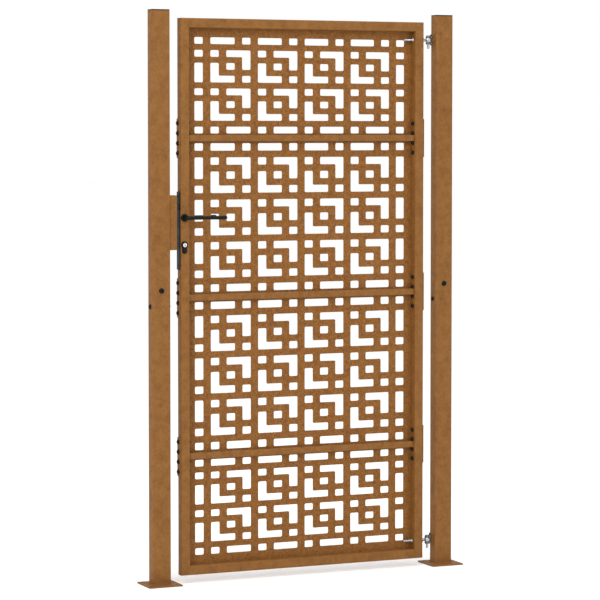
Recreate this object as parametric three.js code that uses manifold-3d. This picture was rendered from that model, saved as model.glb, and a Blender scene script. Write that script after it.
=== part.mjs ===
// Garden gate: two bolted posts, a leaf of four perforated sheets in a tube frame,
// a lever lock on the left and two eye-bolt hinges on the right.
// Millimetres. X runs across the gateway, -Y is the front, Z is up.
// The origin is on the ground, midway between the posts.

import * as THREE from 'three';
import { mergeVertices } from 'three/addons/utils/BufferGeometryUtils.js';
import Module from 'manifold-3d';

const wasm = await Module();
wasm.setup();

// ---------------------------------------------------------------- driving sizes

const GATE_WIDTH = 1050; // over the posts' outer faces
const GATE_HEIGHT = 1800;
const GAP = 0.3; // between pieces that touch
const OVERLAP = 1; // how far the parts of one welded or turned piece run into each other

const POST = { width: 60, depth: 40, wall: 2, corner: 3 };
const POST_X = GATE_WIDTH / 2 - POST.width / 2;
const POST_JOINT_Z = GATE_HEIGHT / 2;
const POST_SLEEVE_LENGTH = 160;
const POST_BOLT = { radius: 4, headRadius: 8.5, headHeight: 5, nutRadius: 7.5, nutHeight: 4.4 };
const POST_BOLT_OFFSET = 25; // above the joint front to back, below it side to side
const BASE = { size: 112, thickness: 4, corner: 3, holeRadius: 5.5, holePitch: 84 };
const CAP = { rim: 3, plug: 14 };

const LEAF = { left: -428, right: 422, bottom: 25, top: 1775, tube: 30, wall: 2, corner: 3 };
const LEAF_CENTRE_X = (LEAF.left + LEAF.right) / 2;
const CROSSBAR_Z = [400, 900, 1400];
const CROSSBAR = { size: 20, wall: 2, corner: 2.5 };
const SHEET_THICKNESS = 2;

const COLUMNS = 14;
const COLUMN_PITCH = 54.25;
const HOLE_WIDTH = 29.3;
const LONG_SHEET = { groups: 3, rowPitch: 44.5, holeHeight: 23.4 };
const SHORT_SHEET = { groups: 2, rowPitch: 40.1, holeHeight: 21.2 };
const SHORT_SHEET_MARGIN = 28; // between the end rail and the nearest row of holes

const SPLICE = { width: 24, length: 124, thickness: 3, corner: 3 };
const SPLICE_BOLT_PITCH = 31.5;
const SPLICE_BOLT = { radius: 3, headRadius: 8, headHeight: 5.4, nutRadius: 5.8, nutHeight: 4.6 };
const TAPPED_BOLT = { radius: 3, headRadius: 5.6, headHeight: 6.5 }; // no nut: the bar is tapped
const BOLT_END = 1.5; // beyond the nut
const BACKING = { thickness: 4, inset: 2 };

const LOCK_X = -416.5; // centre line of the spindle and the cylinder
const SPINDLE_Z = 1151.5;
const CYLINDER_Z = 1066.5;
const FOREND = { width: 24, length: 245, thickness: 3, centreZ: 1111 };
const CASE = { width: 16, length: 206, back: -402 };
const SPINDLE = { size: 7, reach: 39.7, clearance: 6 };
const ROSE = { radius: 12, thickness: 6 };
const LEVER = { planeY: 43, depth: 12, height: 12, reach: 134, neckRadius: 7, endRadius: 7 };
const CYLINDER = { radius: 8.5, tail: 24.5, tailWidth: 10, halfLength: 20 };
const SURROUND = { grow: 3, thickness: 3 };
const PLUG = { radius: 6.5, proud: 0.8 };
const CAM = { radius: 10, halfLength: 4.7, halfWidth: 3, clearance: 0.9 };
const KEYWAY = { width: 2, height: 8, depth: 6 };
const LATCH = { z: 1184, height: 18, width: 11, nose: -440, tail: -410, bevel: 8 };
const DEADBOLT = { z: 1106, height: 26, width: 12, nose: -431.2, tail: -403.5 };
const KEEPER = { face: -441, depth: 30, bottom: 1051, top: 1222, wall: 2.5, slotMargin: 4 };

const PIN_X = 445; // the axis that the leaf swings on
const HINGE_Z = [82, 1718];
const HINGE_PIN = { radius: 4, below: 27.5, above: 13.8, headRadius: 5.8, headHeight: 2 };
const EYE = { radius: 10.5, height: 12 };
const EYE_ROD = { radius: 4, innerEnd: 357 };
const ROD_NUT = { radius: 7.5, height: 6.5 };
const KNUCKLE = { radius: 8, upper: [6.8, 13.5], lower: [-13.5, -6.8] };
const FLANGE = { thickness: 3, front: -5, back: 18, bottom: -17, top: 20 };
const FLANGE_BOLT = { radius: 3, headRadius: 4.6, headHeight: 4, y: 11, heights: [-11, 14] };
const WEB_HALF_WIDTH = 4;

const SMOOTH = 20;
const ROUND = 14;
const SMALL_ROUND = 8;

// ---------------------------------------------------------------- finishes

const finish = (color, roughness, metalness) =>
  new THREE.MeshStandardMaterial({ color, roughness, metalness });
const rust = () => finish(0x9a6739, 0.85, 0.1);
const blackSteel = () => finish(0x26282a, 0.5, 0.3);
const blackPlastic = () => finish(0x1c1c1d, 0.6, 0);
const zinc = () => finish(0xc3c6c8, 0.35, 0.9);
const nickel = () => finish(0xd8d6cf, 0.25, 1.0);

// ---------------------------------------------------------------- outlines

function arcPoints(cx, cy, radius, from, to, steps) {
  const points = [];
  for (let i = 0; i <= steps; i += 1) {
    const angle = from + ((to - from) * i) / steps;
    points.push(new THREE.Vector2(cx + radius * Math.cos(angle), cy + radius * Math.sin(angle)));
  }
  return points;
}

function circleOutline(radius, sides, cx = 0, cy = 0) {
  return arcPoints(cx, cy, radius, 0, 2 * Math.PI, sides).slice(0, sides);
}

function rectangleOutline(x0, y0, x1, y1) {
  return [[x0, y0], [x1, y0], [x1, y1], [x0, y1]].map(([x, y]) => new THREE.Vector2(x, y));
}

function roundedOutline(width, height, corner) {
  const x = width / 2 - corner;
  const y = height / 2 - corner;
  const turn = Math.PI / 2;
  return [
    ...arcPoints(x, y, corner, 0, turn, 2),
    ...arcPoints(-x, y, corner, turn, 2 * turn, 2),
    ...arcPoints(-x, -y, corner, 2 * turn, 3 * turn, 2),
    ...arcPoints(x, -y, corner, 3 * turn, 4 * turn, 2),
  ];
}

// The keyhole section of a profile cylinder, its round part centred on the origin, tail down.
function cylinderOutline(grow) {
  const radius = CYLINDER.radius + grow;
  const half = CYLINDER.tailWidth / 2 + grow;
  const meet = Math.asin(half / radius);
  const tailCentre = -CYLINDER.tail - grow + half;
  return [
    ...arcPoints(0, 0, radius, meet - Math.PI / 2, 1.5 * Math.PI - meet, SMALL_ROUND),
    ...arcPoints(0, tailCentre, half, Math.PI, 2 * Math.PI, 4),
  ];
}

// ---------------------------------------------------------------- solids

function extrude(outline, depth, holes = []) {
  const shape = new THREE.Shape(outline);
  holes.forEach((hole) => shape.holes.push(new THREE.Path(hole)));
  return new THREE.ExtrudeGeometry(shape, { depth, steps: 1, bevelEnabled: false });
}

function box(x0, x1, y0, y1, z0, z1) {
  const geometry = new THREE.BoxGeometry(x1 - x0, y1 - y0, z1 - z0);
  return geometry.translate((x0 + x1) / 2, (y0 + y1) / 2, (z0 + z1) / 2);
}

// A cylinder along 'x', 'y' or 'z' from start to end, centred on the other two coordinates.
function rod(axis, radius, sides, start, end, a, b) {
  const geometry = extrude(circleOutline(radius, sides), end - start);
  geometry.translate(0, 0, start);
  return aim(geometry, axis, a, b);
}

// Turns a solid built along Z so that it runs along the named axis.
function aim(geometry, axis, a, b) {
  if (axis === 'x') {
    return geometry.rotateY(Math.PI / 2).translate(0, a, b);
  }
  if (axis === 'y') {
    return geometry.rotateX(-Math.PI / 2).translate(a, 0, b);
  }
  return geometry.translate(a, b, 0);
}

function tube(width, depth, wall, corner, start, end) {
  const outline = roundedOutline(width, depth, corner);
  const inside = rectangleOutline(
    wall - width / 2, wall - depth / 2, width / 2 - wall, depth / 2 - wall);
  return extrude(outline, end - start, [inside]).translate(0, 0, start);
}

// Cuts one end of a tube at 45 degrees by moving that end's points.
function slantEnd(geometry, endZ, slope) {
  const position = geometry.getAttribute('position');
  for (let i = 0; i < position.count; i += 1) {
    if (Math.abs(position.getZ(i) - endZ) < 1e-3) {
      position.setZ(i, endZ + slope * position.getX(i));
    }
  }
  return geometry;
}

// A domed head and its shank as one turned shape along +Z, the shank starting at z = 0, and
// a nut at the end of the grip. A bolt without a nut ends there.
function boltGeometry(bolt, grip) {
  const { radius, headRadius, headHeight, nutRadius, nutHeight } = bolt;
  const hasNut = nutHeight !== undefined;
  const end = hasNut ? grip + nutHeight + BOLT_END : grip;
  const dome = 0.7;
  const profile = [
    [0, -headHeight], [dome * headRadius, -dome * headHeight], [headRadius, 0], [radius, 0],
    [radius, end], [0, end],
  ];
  const shank = toSolid(new THREE.LatheGeometry(
    profile.map(([r, z]) => new THREE.Vector2(r, z)), SMALL_ROUND).rotateX(Math.PI / 2));
  if (!hasNut) {
    return toGeometry(shank);
  }
  const nut = toSolid(extrude(circleOutline(nutRadius, 6), nutHeight).translate(0, 0, grip));
  return toGeometry(shank.add(nut));
}

function toSolid(geometry) {
  const bare = geometry.clone();
  bare.deleteAttribute('normal');
  bare.deleteAttribute('uv');
  const merged = mergeVertices(bare, 1e-4);
  return new wasm.Manifold(new wasm.Mesh({
    numProp: 3,
    vertProperties: new Float32Array(merged.getAttribute('position').array),
    triVerts: new Uint32Array(merged.getIndex().array),
  }));
}

function toGeometry(solid) {
  const mesh = solid.getMesh();
  const geometry = new THREE.BufferGeometry();
  geometry.setAttribute('position', new THREE.BufferAttribute(mesh.vertProperties, 3));
  geometry.setIndex(new THREE.BufferAttribute(mesh.triVerts, 1));
  return geometry;
}

const join = (...geometries) =>
  toGeometry(geometries.map(toSolid).reduce((whole, piece) => whole.add(piece)));

const cut = (geometry, ...cutters) =>
  toGeometry(cutters.map(toSolid).reduce((left, cutter) => left.subtract(cutter), toSolid(geometry)));

// ---------------------------------------------------------------- the assembly

const gate = new THREE.Group();

function piece(name, geometry, material) {
  const mesh = new THREE.Mesh(geometry, material);
  mesh.name = name;
  gate.add(mesh);
  return mesh;
}

// Posts. outward is -1 at the lock post and 1 at the hinge post.
function post(side, outward, innerWallHoles) {
  const x = outward * POST_X;
  const clearance = POST_BOLT.radius + GAP;
  const sideBoltZ = POST_JOINT_Z - POST_BOLT_OFFSET;
  const frontBoltZ = POST_JOINT_Z + POST_BOLT_OFFSET;

  const section = (from, to) =>
    tube(POST.width, POST.depth, POST.wall, POST.corner, from, to).translate(x, 0, 0);
  const sideHole = rod('x', clearance, SMALL_ROUND, x - POST.width, x + POST.width, 0, sideBoltZ);
  const frontHole = rod('y', clearance, SMALL_ROUND, -POST.width, POST.width, x, frontBoltZ);
  const lower = innerWallHoles.filter((hole) => hole.z < POST_JOINT_Z).map((hole) => hole.cutter);
  const upper = innerWallHoles.filter((hole) => hole.z > POST_JOINT_Z).map((hole) => hole.cutter);

  const corners = [-1, 1].flatMap((i) => [-1, 1].map((j) => [i, j]));
  const holes = corners.map(([i, j]) =>
    circleOutline(BASE.holeRadius, ROUND, (i * BASE.holePitch) / 2, (j * BASE.holePitch) / 2));
  const base = extrude(roundedOutline(BASE.size, BASE.size, BASE.corner), BASE.thickness, holes);
  const lowerTube = section(BASE.thickness / 2, POST_JOINT_Z - GAP / 2);
  const upperTube = section(POST_JOINT_Z + GAP / 2, GATE_HEIGHT - CAP.rim - GAP);
  const foot = join(lowerTube, base.translate(x, 0, 0));
  piece(`${side}_post_lower`, cut(foot, sideHole, ...lower), rust());
  piece(`${side}_post_upper`, cut(upperTube, frontHole, ...upper), rust());

  const shortGrip = POST.depth + 2 * GAP;
  const sideBolt = boltGeometry(POST_BOLT, POST.width + 2 * GAP).rotateY((-outward * Math.PI) / 2);
  sideBolt.translate(x + outward * (POST.width / 2 + GAP), 0, sideBoltZ);
  const frontBolt = boltGeometry(POST_BOLT, shortGrip).rotateX(-Math.PI / 2);
  frontBolt.translate(x, -POST.depth / 2 - GAP, frontBoltZ);
  piece(`${side}_post_side_bolt`, sideBolt, blackSteel());
  piece(`${side}_post_front_bolt`, frontBolt, blackSteel());
  const inner = 2 * (POST.wall + GAP);
  const sleeve = tube(POST.width - inner, POST.depth - inner, POST.wall, 1,
    POST_JOINT_Z - POST_SLEEVE_LENGTH / 2, POST_JOINT_Z + POST_SLEEVE_LENGTH / 2);
  piece(`${side}_post_sleeve`, cut(sleeve.translate(x, 0, 0), sideHole, frontHole), rust());

  const rim = extrude(roundedOutline(POST.width, POST.depth, POST.corner), CAP.rim);
  const plug = extrude(
    roundedOutline(POST.width - inner, POST.depth - inner, 1), CAP.plug + OVERLAP);
  rim.translate(x, 0, GATE_HEIGHT - CAP.rim);
  plug.translate(x, 0, GATE_HEIGHT - CAP.rim - CAP.plug);
  piece(`${side}_post_cap`, join(rim, plug), blackPlastic());
}

// Leaf frame: four stile sections a side, mitred end rails and set-back crossbars.
const stileCentre = { lock: LEAF.left + LEAF.tube / 2, hinge: LEAF.right - LEAF.tube / 2 };
const outwardOf = { lock: -1, hinge: 1 };
const spliceBoltZ = (crossbarZ) =>
  [-1.5, -0.5, 0.5, 1.5].map((step) => crossbarZ + step * SPLICE_BOLT_PITCH);

function stiles(side, extraCutters) {
  const x = stileCentre[side];
  const outward = outwardOf[side];
  const joints = [LEAF.bottom, ...CROSSBAR_Z, LEAF.top];
  for (let i = 0; i < joints.length - 1; i += 1) {
    const isFirst = i === 0;
    const isLast = i === joints.length - 2;
    const from = isFirst ? LEAF.bottom + LEAF.tube / 2 : joints[i] + GAP / 2;
    const to = isLast ? LEAF.top - LEAF.tube / 2 : joints[i + 1] - GAP / 2;
    const section = tube(LEAF.tube, LEAF.tube, LEAF.wall, LEAF.corner, from, to);
    if (isFirst) {
      slantEnd(section, from, -outward);
    }
    if (isLast) {
      slantEnd(section, to, outward);
    }
    section.translate(x, 0, 0);
    const boltHoles = CROSSBAR_Z.flatMap(spliceBoltZ)
      .filter((z) => z > joints[i] && z < joints[i + 1])
      .map((z) => rod('x', SPLICE_BOLT.radius + GAP, SMALL_ROUND, x - LEAF.tube, x + LEAF.tube, 0, z));
    const others = extraCutters.filter(({ z }) => z > joints[i] && z < joints[i + 1]);
    const cutters = [...boltHoles, ...others.map(({ cutter }) => cutter)];
    piece(`${side}_stile_${i + 1}`, cutters.length ? cut(section, ...cutters) : section, rust());
  }
}

function endRail(name, z, up) {
  const half = LEAF.tube / 2 + GAP;
  const length = LEAF.right - LEAF.left - 2 * half;
  const rail = tube(LEAF.tube, LEAF.tube, LEAF.wall, LEAF.corner, -length / 2, length / 2);
  slantEnd(rail, -length / 2, -up);
  slantEnd(rail, length / 2, up);
  piece(name, rail.rotateY(Math.PI / 2).translate(LEAF_CENTRE_X, 0, z), rust());
}

const openingLeft = LEAF.left + LEAF.tube + GAP;
const openingRight = LEAF.right - LEAF.tube - GAP;
const sheetBack = LEAF.tube / 2;
const sheetFront = sheetBack - SHEET_THICKNESS;

function crossbars() {
  CROSSBAR_Z.forEach((z, i) => {
    const bar = tube(CROSSBAR.size, CROSSBAR.size, CROSSBAR.wall, CROSSBAR.corner,
      openingLeft, openingRight);
    const y = sheetFront - GAP - CROSSBAR.size / 2;
    piece(`crossbar_${i + 1}`, aim(bar, 'x', y, z), rust());
  });
}

// The cut-outs of one sheet, as cells of the grid that they cover. The twelve inner columns
// repeat every three columns: squares on a diagonal with an angle piece on each side of it.
function cutouts(groups) {
  const rows = 3 * groups + 2;
  const shapes = [];
  for (let c = 1; c < COLUMNS - 1; c += 3) {
    shapes.push([[c, 0], [c + 1, 0]], [[c + 2, 0]]);
    for (let g = 0; g < groups; g += 1) {
      const r = 1 + 3 * g;
      shapes.push([[c, r]], [[c + 1, r], [c + 2, r], [c + 2, r + 1]], [[c + 1, r + 1]]);
      shapes.push([[c, r + 1], [c, r + 2], [c + 1, r + 2]], [[c + 2, r + 2]]);
    }
    shapes.push([[c, rows - 1]], [[c + 1, rows - 1], [c + 2, rows - 1]]);
  }
  [0, COLUMNS - 1].forEach((c) => {
    const lone = groups === LONG_SHEET.groups ? [0, 3, 6, 9, 10] : [0, 1, 4, 7];
    const pairs = groups === LONG_SHEET.groups ? [1, 4, 7] : [2, 5];
    lone.forEach((r) => shapes.push([[c, r]]));
    pairs.forEach((r) => shapes.push([[c, r], [c, r + 1]]));
  });
  return shapes;
}

// The outline around one to three neighbouring cells. cellBox gives a cell's edges.
function cutoutOutline(cells, cellBox) {
  const boxes = cells.map(cellBox);
  const [first] = boxes;
  const last = boxes[boxes.length - 1];
  const x0 = Math.min(...boxes.map((b) => b.x0));
  const x1 = Math.max(...boxes.map((b) => b.x1));
  const z0 = Math.min(...boxes.map((b) => b.z0));
  const z1 = Math.max(...boxes.map((b) => b.z1));
  if (cells.length < 3) {
    return rectangleOutline(x0, z0, x1, z1);
  }
  const goesAcrossFirst = cells[0][1] === cells[1][1];
  const points = goesAcrossFirst
    ? [[x0, z1], [x0, first.z0], [last.x0, first.z0], [last.x0, z0], [x1, z0], [x1, z1]]
    : [[x0, z1], [x0, z0], [x1, z0], [x1, last.z1], [first.x1, last.z1], [first.x1, z1]];
  return points.map(([x, z]) => new THREE.Vector2(x, z));
}

function sheets() {
  const railBottom = LEAF.bottom + LEAF.tube;
  const railTop = LEAF.top - LEAF.tube;
  const edges = [railBottom + GAP / 2, ...CROSSBAR_Z, railTop - GAP / 2];
  for (let i = 0; i < edges.length - 1; i += 1) {
    const isEnd = i === 0 || i === edges.length - 2;
    const { groups, rowPitch, holeHeight } = isEnd ? SHORT_SHEET : LONG_SHEET;
    const rows = 3 * groups + 2;
    const zone = (rows - 1) * rowPitch + holeHeight;
    const from = edges[i] + GAP / 2;
    const to = edges[i + 1] - GAP / 2;
    const tops = {
      0: railBottom + SHORT_SHEET_MARGIN + zone,
      [edges.length - 2]: railTop - SHORT_SHEET_MARGIN,
    };
    const zoneTop = tops[i] ?? (edges[i] + edges[i + 1] + zone) / 2;
    const cellBox = ([column, row]) => {
      const x = LEAF_CENTRE_X + (column - (COLUMNS - 1) / 2) * COLUMN_PITCH;
      const z1 = zoneTop - row * rowPitch;
      return { x0: x - HOLE_WIDTH / 2, x1: x + HOLE_WIDTH / 2, z0: z1 - holeHeight, z1 };
    };
    const blank = box(openingLeft, openingRight, sheetFront, sheetBack, from, to);
    const punches = cutouts(groups).map((cells) =>
      extrude(cutoutOutline(cells, cellBox), 3 * SHEET_THICKNESS).rotateX(Math.PI / 2)
        .translate(0, sheetBack + SHEET_THICKNESS, 0));
    piece(`sheet_${i + 1}`, cut(blank, ...punches), rust());
  }
}

// Splices: a plate over the outside of each stile joint, and four bolts that all point to +X.
// In the lock stile their heads are outside and have nuts. In the hinge stile their heads are
// inside, and they are screwed into the bar behind the plate.
function splices(side) {
  const outward = outwardOf[side];
  const face = side === 'lock' ? LEAF.left : LEAF.right;
  const plateFace = face + outward * (GAP + SPLICE.thickness);
  const lockSide = { bolt: SPLICE_BOLT, from: plateFace - GAP, to: face + LEAF.tube + GAP };
  const hingeSide = { bolt: TAPPED_BOLT, from: face - LEAF.tube - GAP, to: plateFace };
  const { bolt, from, to } = side === 'lock' ? lockSide : hingeSide;
  CROSSBAR_Z.forEach((z, i) => {
    const holes = spliceBoltZ(0).map((dz) => circleOutline(SPLICE_BOLT.radius + GAP, SMALL_ROUND, dz, 0));
    const plate = extrude(
      roundedOutline(SPLICE.length, SPLICE.width, SPLICE.corner), SPLICE.thickness, holes);
    plate.rotateY(-Math.PI / 2);
    plate.translate(outward > 0 ? plateFace : face - GAP, 0, z);
    piece(`${side}_splice_plate_${i + 1}`, plate, rust());

    const bolts = spliceBoltZ(z).map((boltZ) =>
      boltGeometry(bolt, to - from).rotateZ(Math.PI / 2).rotateY(Math.PI / 2).translate(from, 0, boltZ));
    const wallInside = face - outward * (LEAF.wall + GAP);
    const backing = [wallInside, wallInside - outward * BACKING.thickness].sort((a, b) => a - b);
    const half = SPLICE.length / 2 - BACKING.inset;
    const bar = box(...backing, -SPLICE.width / 2, SPLICE.width / 2, z - half, z + half);
    piece(`${side}_splice_bolts_${i + 1}`, join(bar, ...bolts), blackSteel());
  });
}

// Lock: the case and forend are riveted together, and everything that moves runs inside them.
function lock() {
  const forendBack = LEAF.left - GAP;
  const forendFront = forendBack - FOREND.thickness;
  const forend = extrude(roundedOutline(FOREND.length, FOREND.width, SPLICE.corner), FOREND.thickness)
    .rotateY(-Math.PI / 2).translate(forendBack, 0, FOREND.centreZ);
  const halfCase = CASE.length / 2;
  const half = CASE.width / 2;
  const body = box(forendBack - OVERLAP, CASE.back, -half, half,
    FOREND.centreZ - halfCase, FOREND.centreZ + halfCase);
  const far = LEAF.left - LEAF.tube;
  const channel = ({ z, height, width }) => box(
    far, CASE.back + OVERLAP, -width / 2 - GAP, width / 2 + GAP, z - height / 2 - GAP, z + height / 2 + GAP);
  const keyway = extrude(cylinderOutline(GAP), 2 * LEAF.tube).translate(0, 0, -LEAF.tube);
  const profileHole = keyway.rotateX(Math.PI / 2).translate(LOCK_X, 0, CYLINDER_Z);
  const spindleHole = rod('y', SPINDLE.clearance, ROUND, -LEAF.tube, LEAF.tube, LOCK_X, SPINDLE_Z);
  const camRoom = rod('y', CAM.radius + CAM.clearance, SMOOTH,
    -CAM.halfLength - GAP, CAM.halfLength + GAP, LOCK_X, CYLINDER_Z);
  piece('lock_case', cut(join(forend, body), channel(LATCH), channel(DEADBOLT),
    profileHole, spindleHole, camRoom), blackSteel());

  const latchHalf = LATCH.width / 2;
  const latch = extrude([
    [LATCH.tail, -latchHalf], [LATCH.tail, latchHalf], [LATCH.nose + LATCH.bevel, latchHalf],
    [LATCH.nose, latchHalf - LATCH.bevel], [LATCH.nose, -latchHalf],
  ].map(([x, y]) => new THREE.Vector2(x, y)), LATCH.height);
  piece('latch', latch.translate(0, 0, LATCH.z - LATCH.height / 2), blackSteel());
  piece('deadbolt', box(DEADBOLT.nose, DEADBOLT.tail, -DEADBOLT.width / 2, DEADBOLT.width / 2,
    DEADBOLT.z - DEADBOLT.height / 2, DEADBOLT.z + DEADBOLT.height / 2), blackSteel());

  const profile = extrude(cylinderOutline(0), 2 * CYLINDER.halfLength)
    .translate(0, 0, -CYLINDER.halfLength).rotateX(Math.PI / 2).translate(LOCK_X, 0, CYLINDER_Z);
  const bore = rod('y', PLUG.radius + GAP, ROUND, -LEAF.tube, LEAF.tube, LOCK_X, CYLINDER_Z);
  piece('lock_cylinder', cut(profile, bore, camRoom), blackSteel());
  const plugEnd = CYLINDER.halfLength + PLUG.proud;
  const core = rod('y', PLUG.radius, ROUND, -plugEnd, plugEnd, LOCK_X, CYLINDER_Z);
  const cam = box(LOCK_X - CAM.halfWidth, LOCK_X + CAM.halfWidth, -CAM.halfLength, CAM.halfLength,
    CYLINDER_Z, CYLINDER_Z + CAM.radius);
  const slots = [-1, 1].map((end) => box(
    LOCK_X - KEYWAY.width / 2, LOCK_X + KEYWAY.width / 2,
    ...[end * (plugEnd - KEYWAY.depth), end * (plugEnd + OVERLAP)].sort((a, b) => a - b),
    CYLINDER_Z - KEYWAY.height / 2, CYLINDER_Z + KEYWAY.height / 2));
  piece('cylinder_plug', cut(join(core, cam), ...slots), nickel());

  const square = SPINDLE.size / 2;
  piece('spindle', box(LOCK_X - square, LOCK_X + square, -SPINDLE.reach, SPINDLE.reach,
    SPINDLE_Z - square, SPINDLE_Z + square), zinc());
  [['front', -1], ['rear', 1]].forEach(([name, out]) => {
    const span = (near, away) => [out * near, out * away].sort((a, b) => a - b);
    const roseBack = LEAF.tube / 2 + GAP;
    const roseFront = roseBack + ROSE.thickness;
    const disc = rod('y', ROSE.radius, SMOOTH, ...span(roseBack, roseFront), LOCK_X, SPINDLE_Z);
    const through = rod('y', SPINDLE.clearance, ROUND, ...span(roseBack - OVERLAP, roseFront + OVERLAP),
      LOCK_X, SPINDLE_Z);
    piece(`${name}_rose`, cut(disc, through), blackSteel());

    const collar = extrude(cylinderOutline(SURROUND.grow), SURROUND.thickness,
      [cylinderOutline(GAP)]).translate(0, 0, -SURROUND.thickness / 2).rotateX(Math.PI / 2);
    const collarY = out * (roseBack + SURROUND.thickness / 2);
    piece(`${name}_cylinder_surround`, collar.translate(LOCK_X, collarY, CYLINDER_Z), blackSteel());

    const near = LEVER.planeY - LEVER.depth / 2;
    const away = LEVER.planeY + LEVER.depth / 2;
    const neck = rod('y', LEVER.neckRadius, ROUND, ...span(roseFront + GAP, away), LOCK_X, SPINDLE_Z);
    const end = LOCK_X + LEVER.reach - LEVER.endRadius;
    const grip = box(LOCK_X, end, ...span(near, away),
      SPINDLE_Z - LEVER.height / 2, SPINDLE_Z + LEVER.height / 2);
    const tip = rod('y', LEVER.endRadius, ROUND, ...span(near, away), end, SPINDLE_Z);
    const socket = box(LOCK_X - square - GAP, LOCK_X + square + GAP,
      ...span(roseFront - OVERLAP, SPINDLE.reach + GAP), SPINDLE_Z - square - GAP, SPINDLE_Z + square + GAP);
    piece(`${name}_lever`, cut(join(neck, grip, tip), socket), blackSteel());
  });

  // The keeper is a closed box on the lock post with a slot for each bolt.
  const postFace = -POST_X + POST.width / 2 + GAP;
  const { wall } = KEEPER;
  const shell = box(postFace, KEEPER.face, -KEEPER.depth / 2, KEEPER.depth / 2,
    KEEPER.bottom, KEEPER.top);
  const hollow = box(postFace + wall, KEEPER.face - wall, wall - KEEPER.depth / 2,
    KEEPER.depth / 2 - wall, KEEPER.bottom + wall, KEEPER.top - wall);
  const slot = ({ z, height, width }) => box(KEEPER.face - 2 * wall, KEEPER.face + OVERLAP,
    -width / 2 - KEEPER.slotMargin, width / 2 + KEEPER.slotMargin,
    z - height / 2 - KEEPER.slotMargin, z + height / 2 + KEEPER.slotMargin);
  piece('keeper', cut(shell, hollow, slot(LATCH), slot(DEADBOLT)), rust());

  const caseSlot = box(far, LEAF.left + LEAF.wall + OVERLAP, -half - GAP, half + GAP,
    FOREND.centreZ - halfCase - GAP, FOREND.centreZ + halfCase + GAP);
  return [
    { z: FOREND.centreZ, cutter: caseSlot },
    { z: CYLINDER_Z, cutter: profileHole },
    { z: SPINDLE_Z, cutter: spindleHole },
  ];
}

// Hinges: an eye bolt clamped in the stile by two nuts turns on a pin in the post's bracket.
function hinge(name, z) {
  const eyeHole = rod('z', HINGE_PIN.radius + GAP, ROUND, z - EYE.height, z + EYE.height, PIN_X, 0);
  const ring = rod('z', EYE.radius, SMOOTH, z - EYE.height / 2, z + EYE.height / 2, PIN_X, 0);
  const shank = rod('x', EYE_ROD.radius, ROUND, EYE_ROD.innerEnd, PIN_X - EYE.radius + 2 * OVERLAP, 0, z);
  const nut = (from) => aim(
    extrude(circleOutline(ROD_NUT.radius, 6), ROD_NUT.height).translate(0, 0, from), 'x', 0, z);
  const nuts = [nut(LEAF.right + GAP), nut(LEAF.right - LEAF.tube - GAP - ROD_NUT.height)];
  piece(`${name}_eye_bolt`, cut(join(ring, shank, ...nuts), eyeHole), zinc());

  const postFace = POST_X - POST.width / 2 - GAP;
  const flangeFace = postFace - FLANGE.thickness;
  const flange = box(flangeFace, postFace, FLANGE.front, FLANGE.back, z + FLANGE.bottom, z + FLANGE.top);
  const knuckles = [KNUCKLE.upper, KNUCKLE.lower].flatMap(([low, high]) => [
    rod('z', KNUCKLE.radius, SMOOTH, z + low, z + high, PIN_X, 0),
    box(PIN_X, flangeFace + OVERLAP, -WEB_HALF_WIDTH, WEB_HALF_WIDTH, z + low, z + high),
  ]);
  const bolts = FLANGE_BOLT.heights.flatMap((dz) => [
    rod('x', FLANGE_BOLT.headRadius, SMALL_ROUND, flangeFace - FLANGE_BOLT.headHeight,
      flangeFace + OVERLAP, FLANGE_BOLT.y, z + dz),
    rod('x', FLANGE_BOLT.radius, SMALL_ROUND, flangeFace,
      postFace + 3 * POST.wall, FLANGE_BOLT.y, z + dz),
  ]);
  const pinHole = rod('z', HINGE_PIN.radius + GAP, ROUND, z - HINGE_PIN.below, z + HINGE_PIN.below,
    PIN_X, 0);
  piece(`${name}_bracket`, cut(join(flange, ...knuckles, ...bolts), pinHole), zinc());

  const pinTop = z + HINGE_PIN.above;
  piece(`${name}_pin`, join(
    rod('z', HINGE_PIN.radius, ROUND, z - HINGE_PIN.below, pinTop + OVERLAP, PIN_X, 0),
    rod('z', HINGE_PIN.headRadius, ROUND, pinTop, pinTop + HINGE_PIN.headHeight, PIN_X, 0)), zinc());

  const rodHole = rod('x', EYE_ROD.radius + GAP, ROUND,
    LEAF.right - 2 * LEAF.tube, LEAF.right + LEAF.tube, 0, z);
  const boltHoles = FLANGE_BOLT.heights.map((dz) => ({
    z,
    cutter: rod('x', FLANGE_BOLT.radius + GAP, SMALL_ROUND, postFace - OVERLAP,
      postFace + 4 * POST.wall, FLANGE_BOLT.y, z + dz),
  }));
  return { rodHole: { z, cutter: rodHole }, boltHoles };
}

const lockCutters = lock();
const hinges = [hinge('lower_hinge', HINGE_Z[0]), hinge('upper_hinge', HINGE_Z[1])];
post('lock', -1, []);
post('hinge', 1, hinges.flatMap(({ boltHoles }) => boltHoles));
stiles('lock', lockCutters);
stiles('hinge', hinges.map(({ rodHole }) => rodHole));
endRail('bottom_rail', LEAF.bottom + LEAF.tube / 2, 1);
endRail('top_rail', LEAF.top - LEAF.tube / 2, -1);
crossbars();
sheets();
splices('lock');
splices('hinge');

export default gate;
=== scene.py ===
"""A garden gate of weathering steel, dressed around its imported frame.

Two bolted posts carry a leaf of four pierced sheets in a tube frame, with a lever lock on
the left and two eye-bolt hinges on the right. X runs across the gateway, -Y is the front
and Z is up. Sizes are in metres unless a name or a comment says millimetres.
"""

import logging
import math
from collections.abc import Sequence
from dataclasses import dataclass
from enum import Enum

import bmesh
import bpy
from mathutils import Euler, Matrix, Vector


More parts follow.
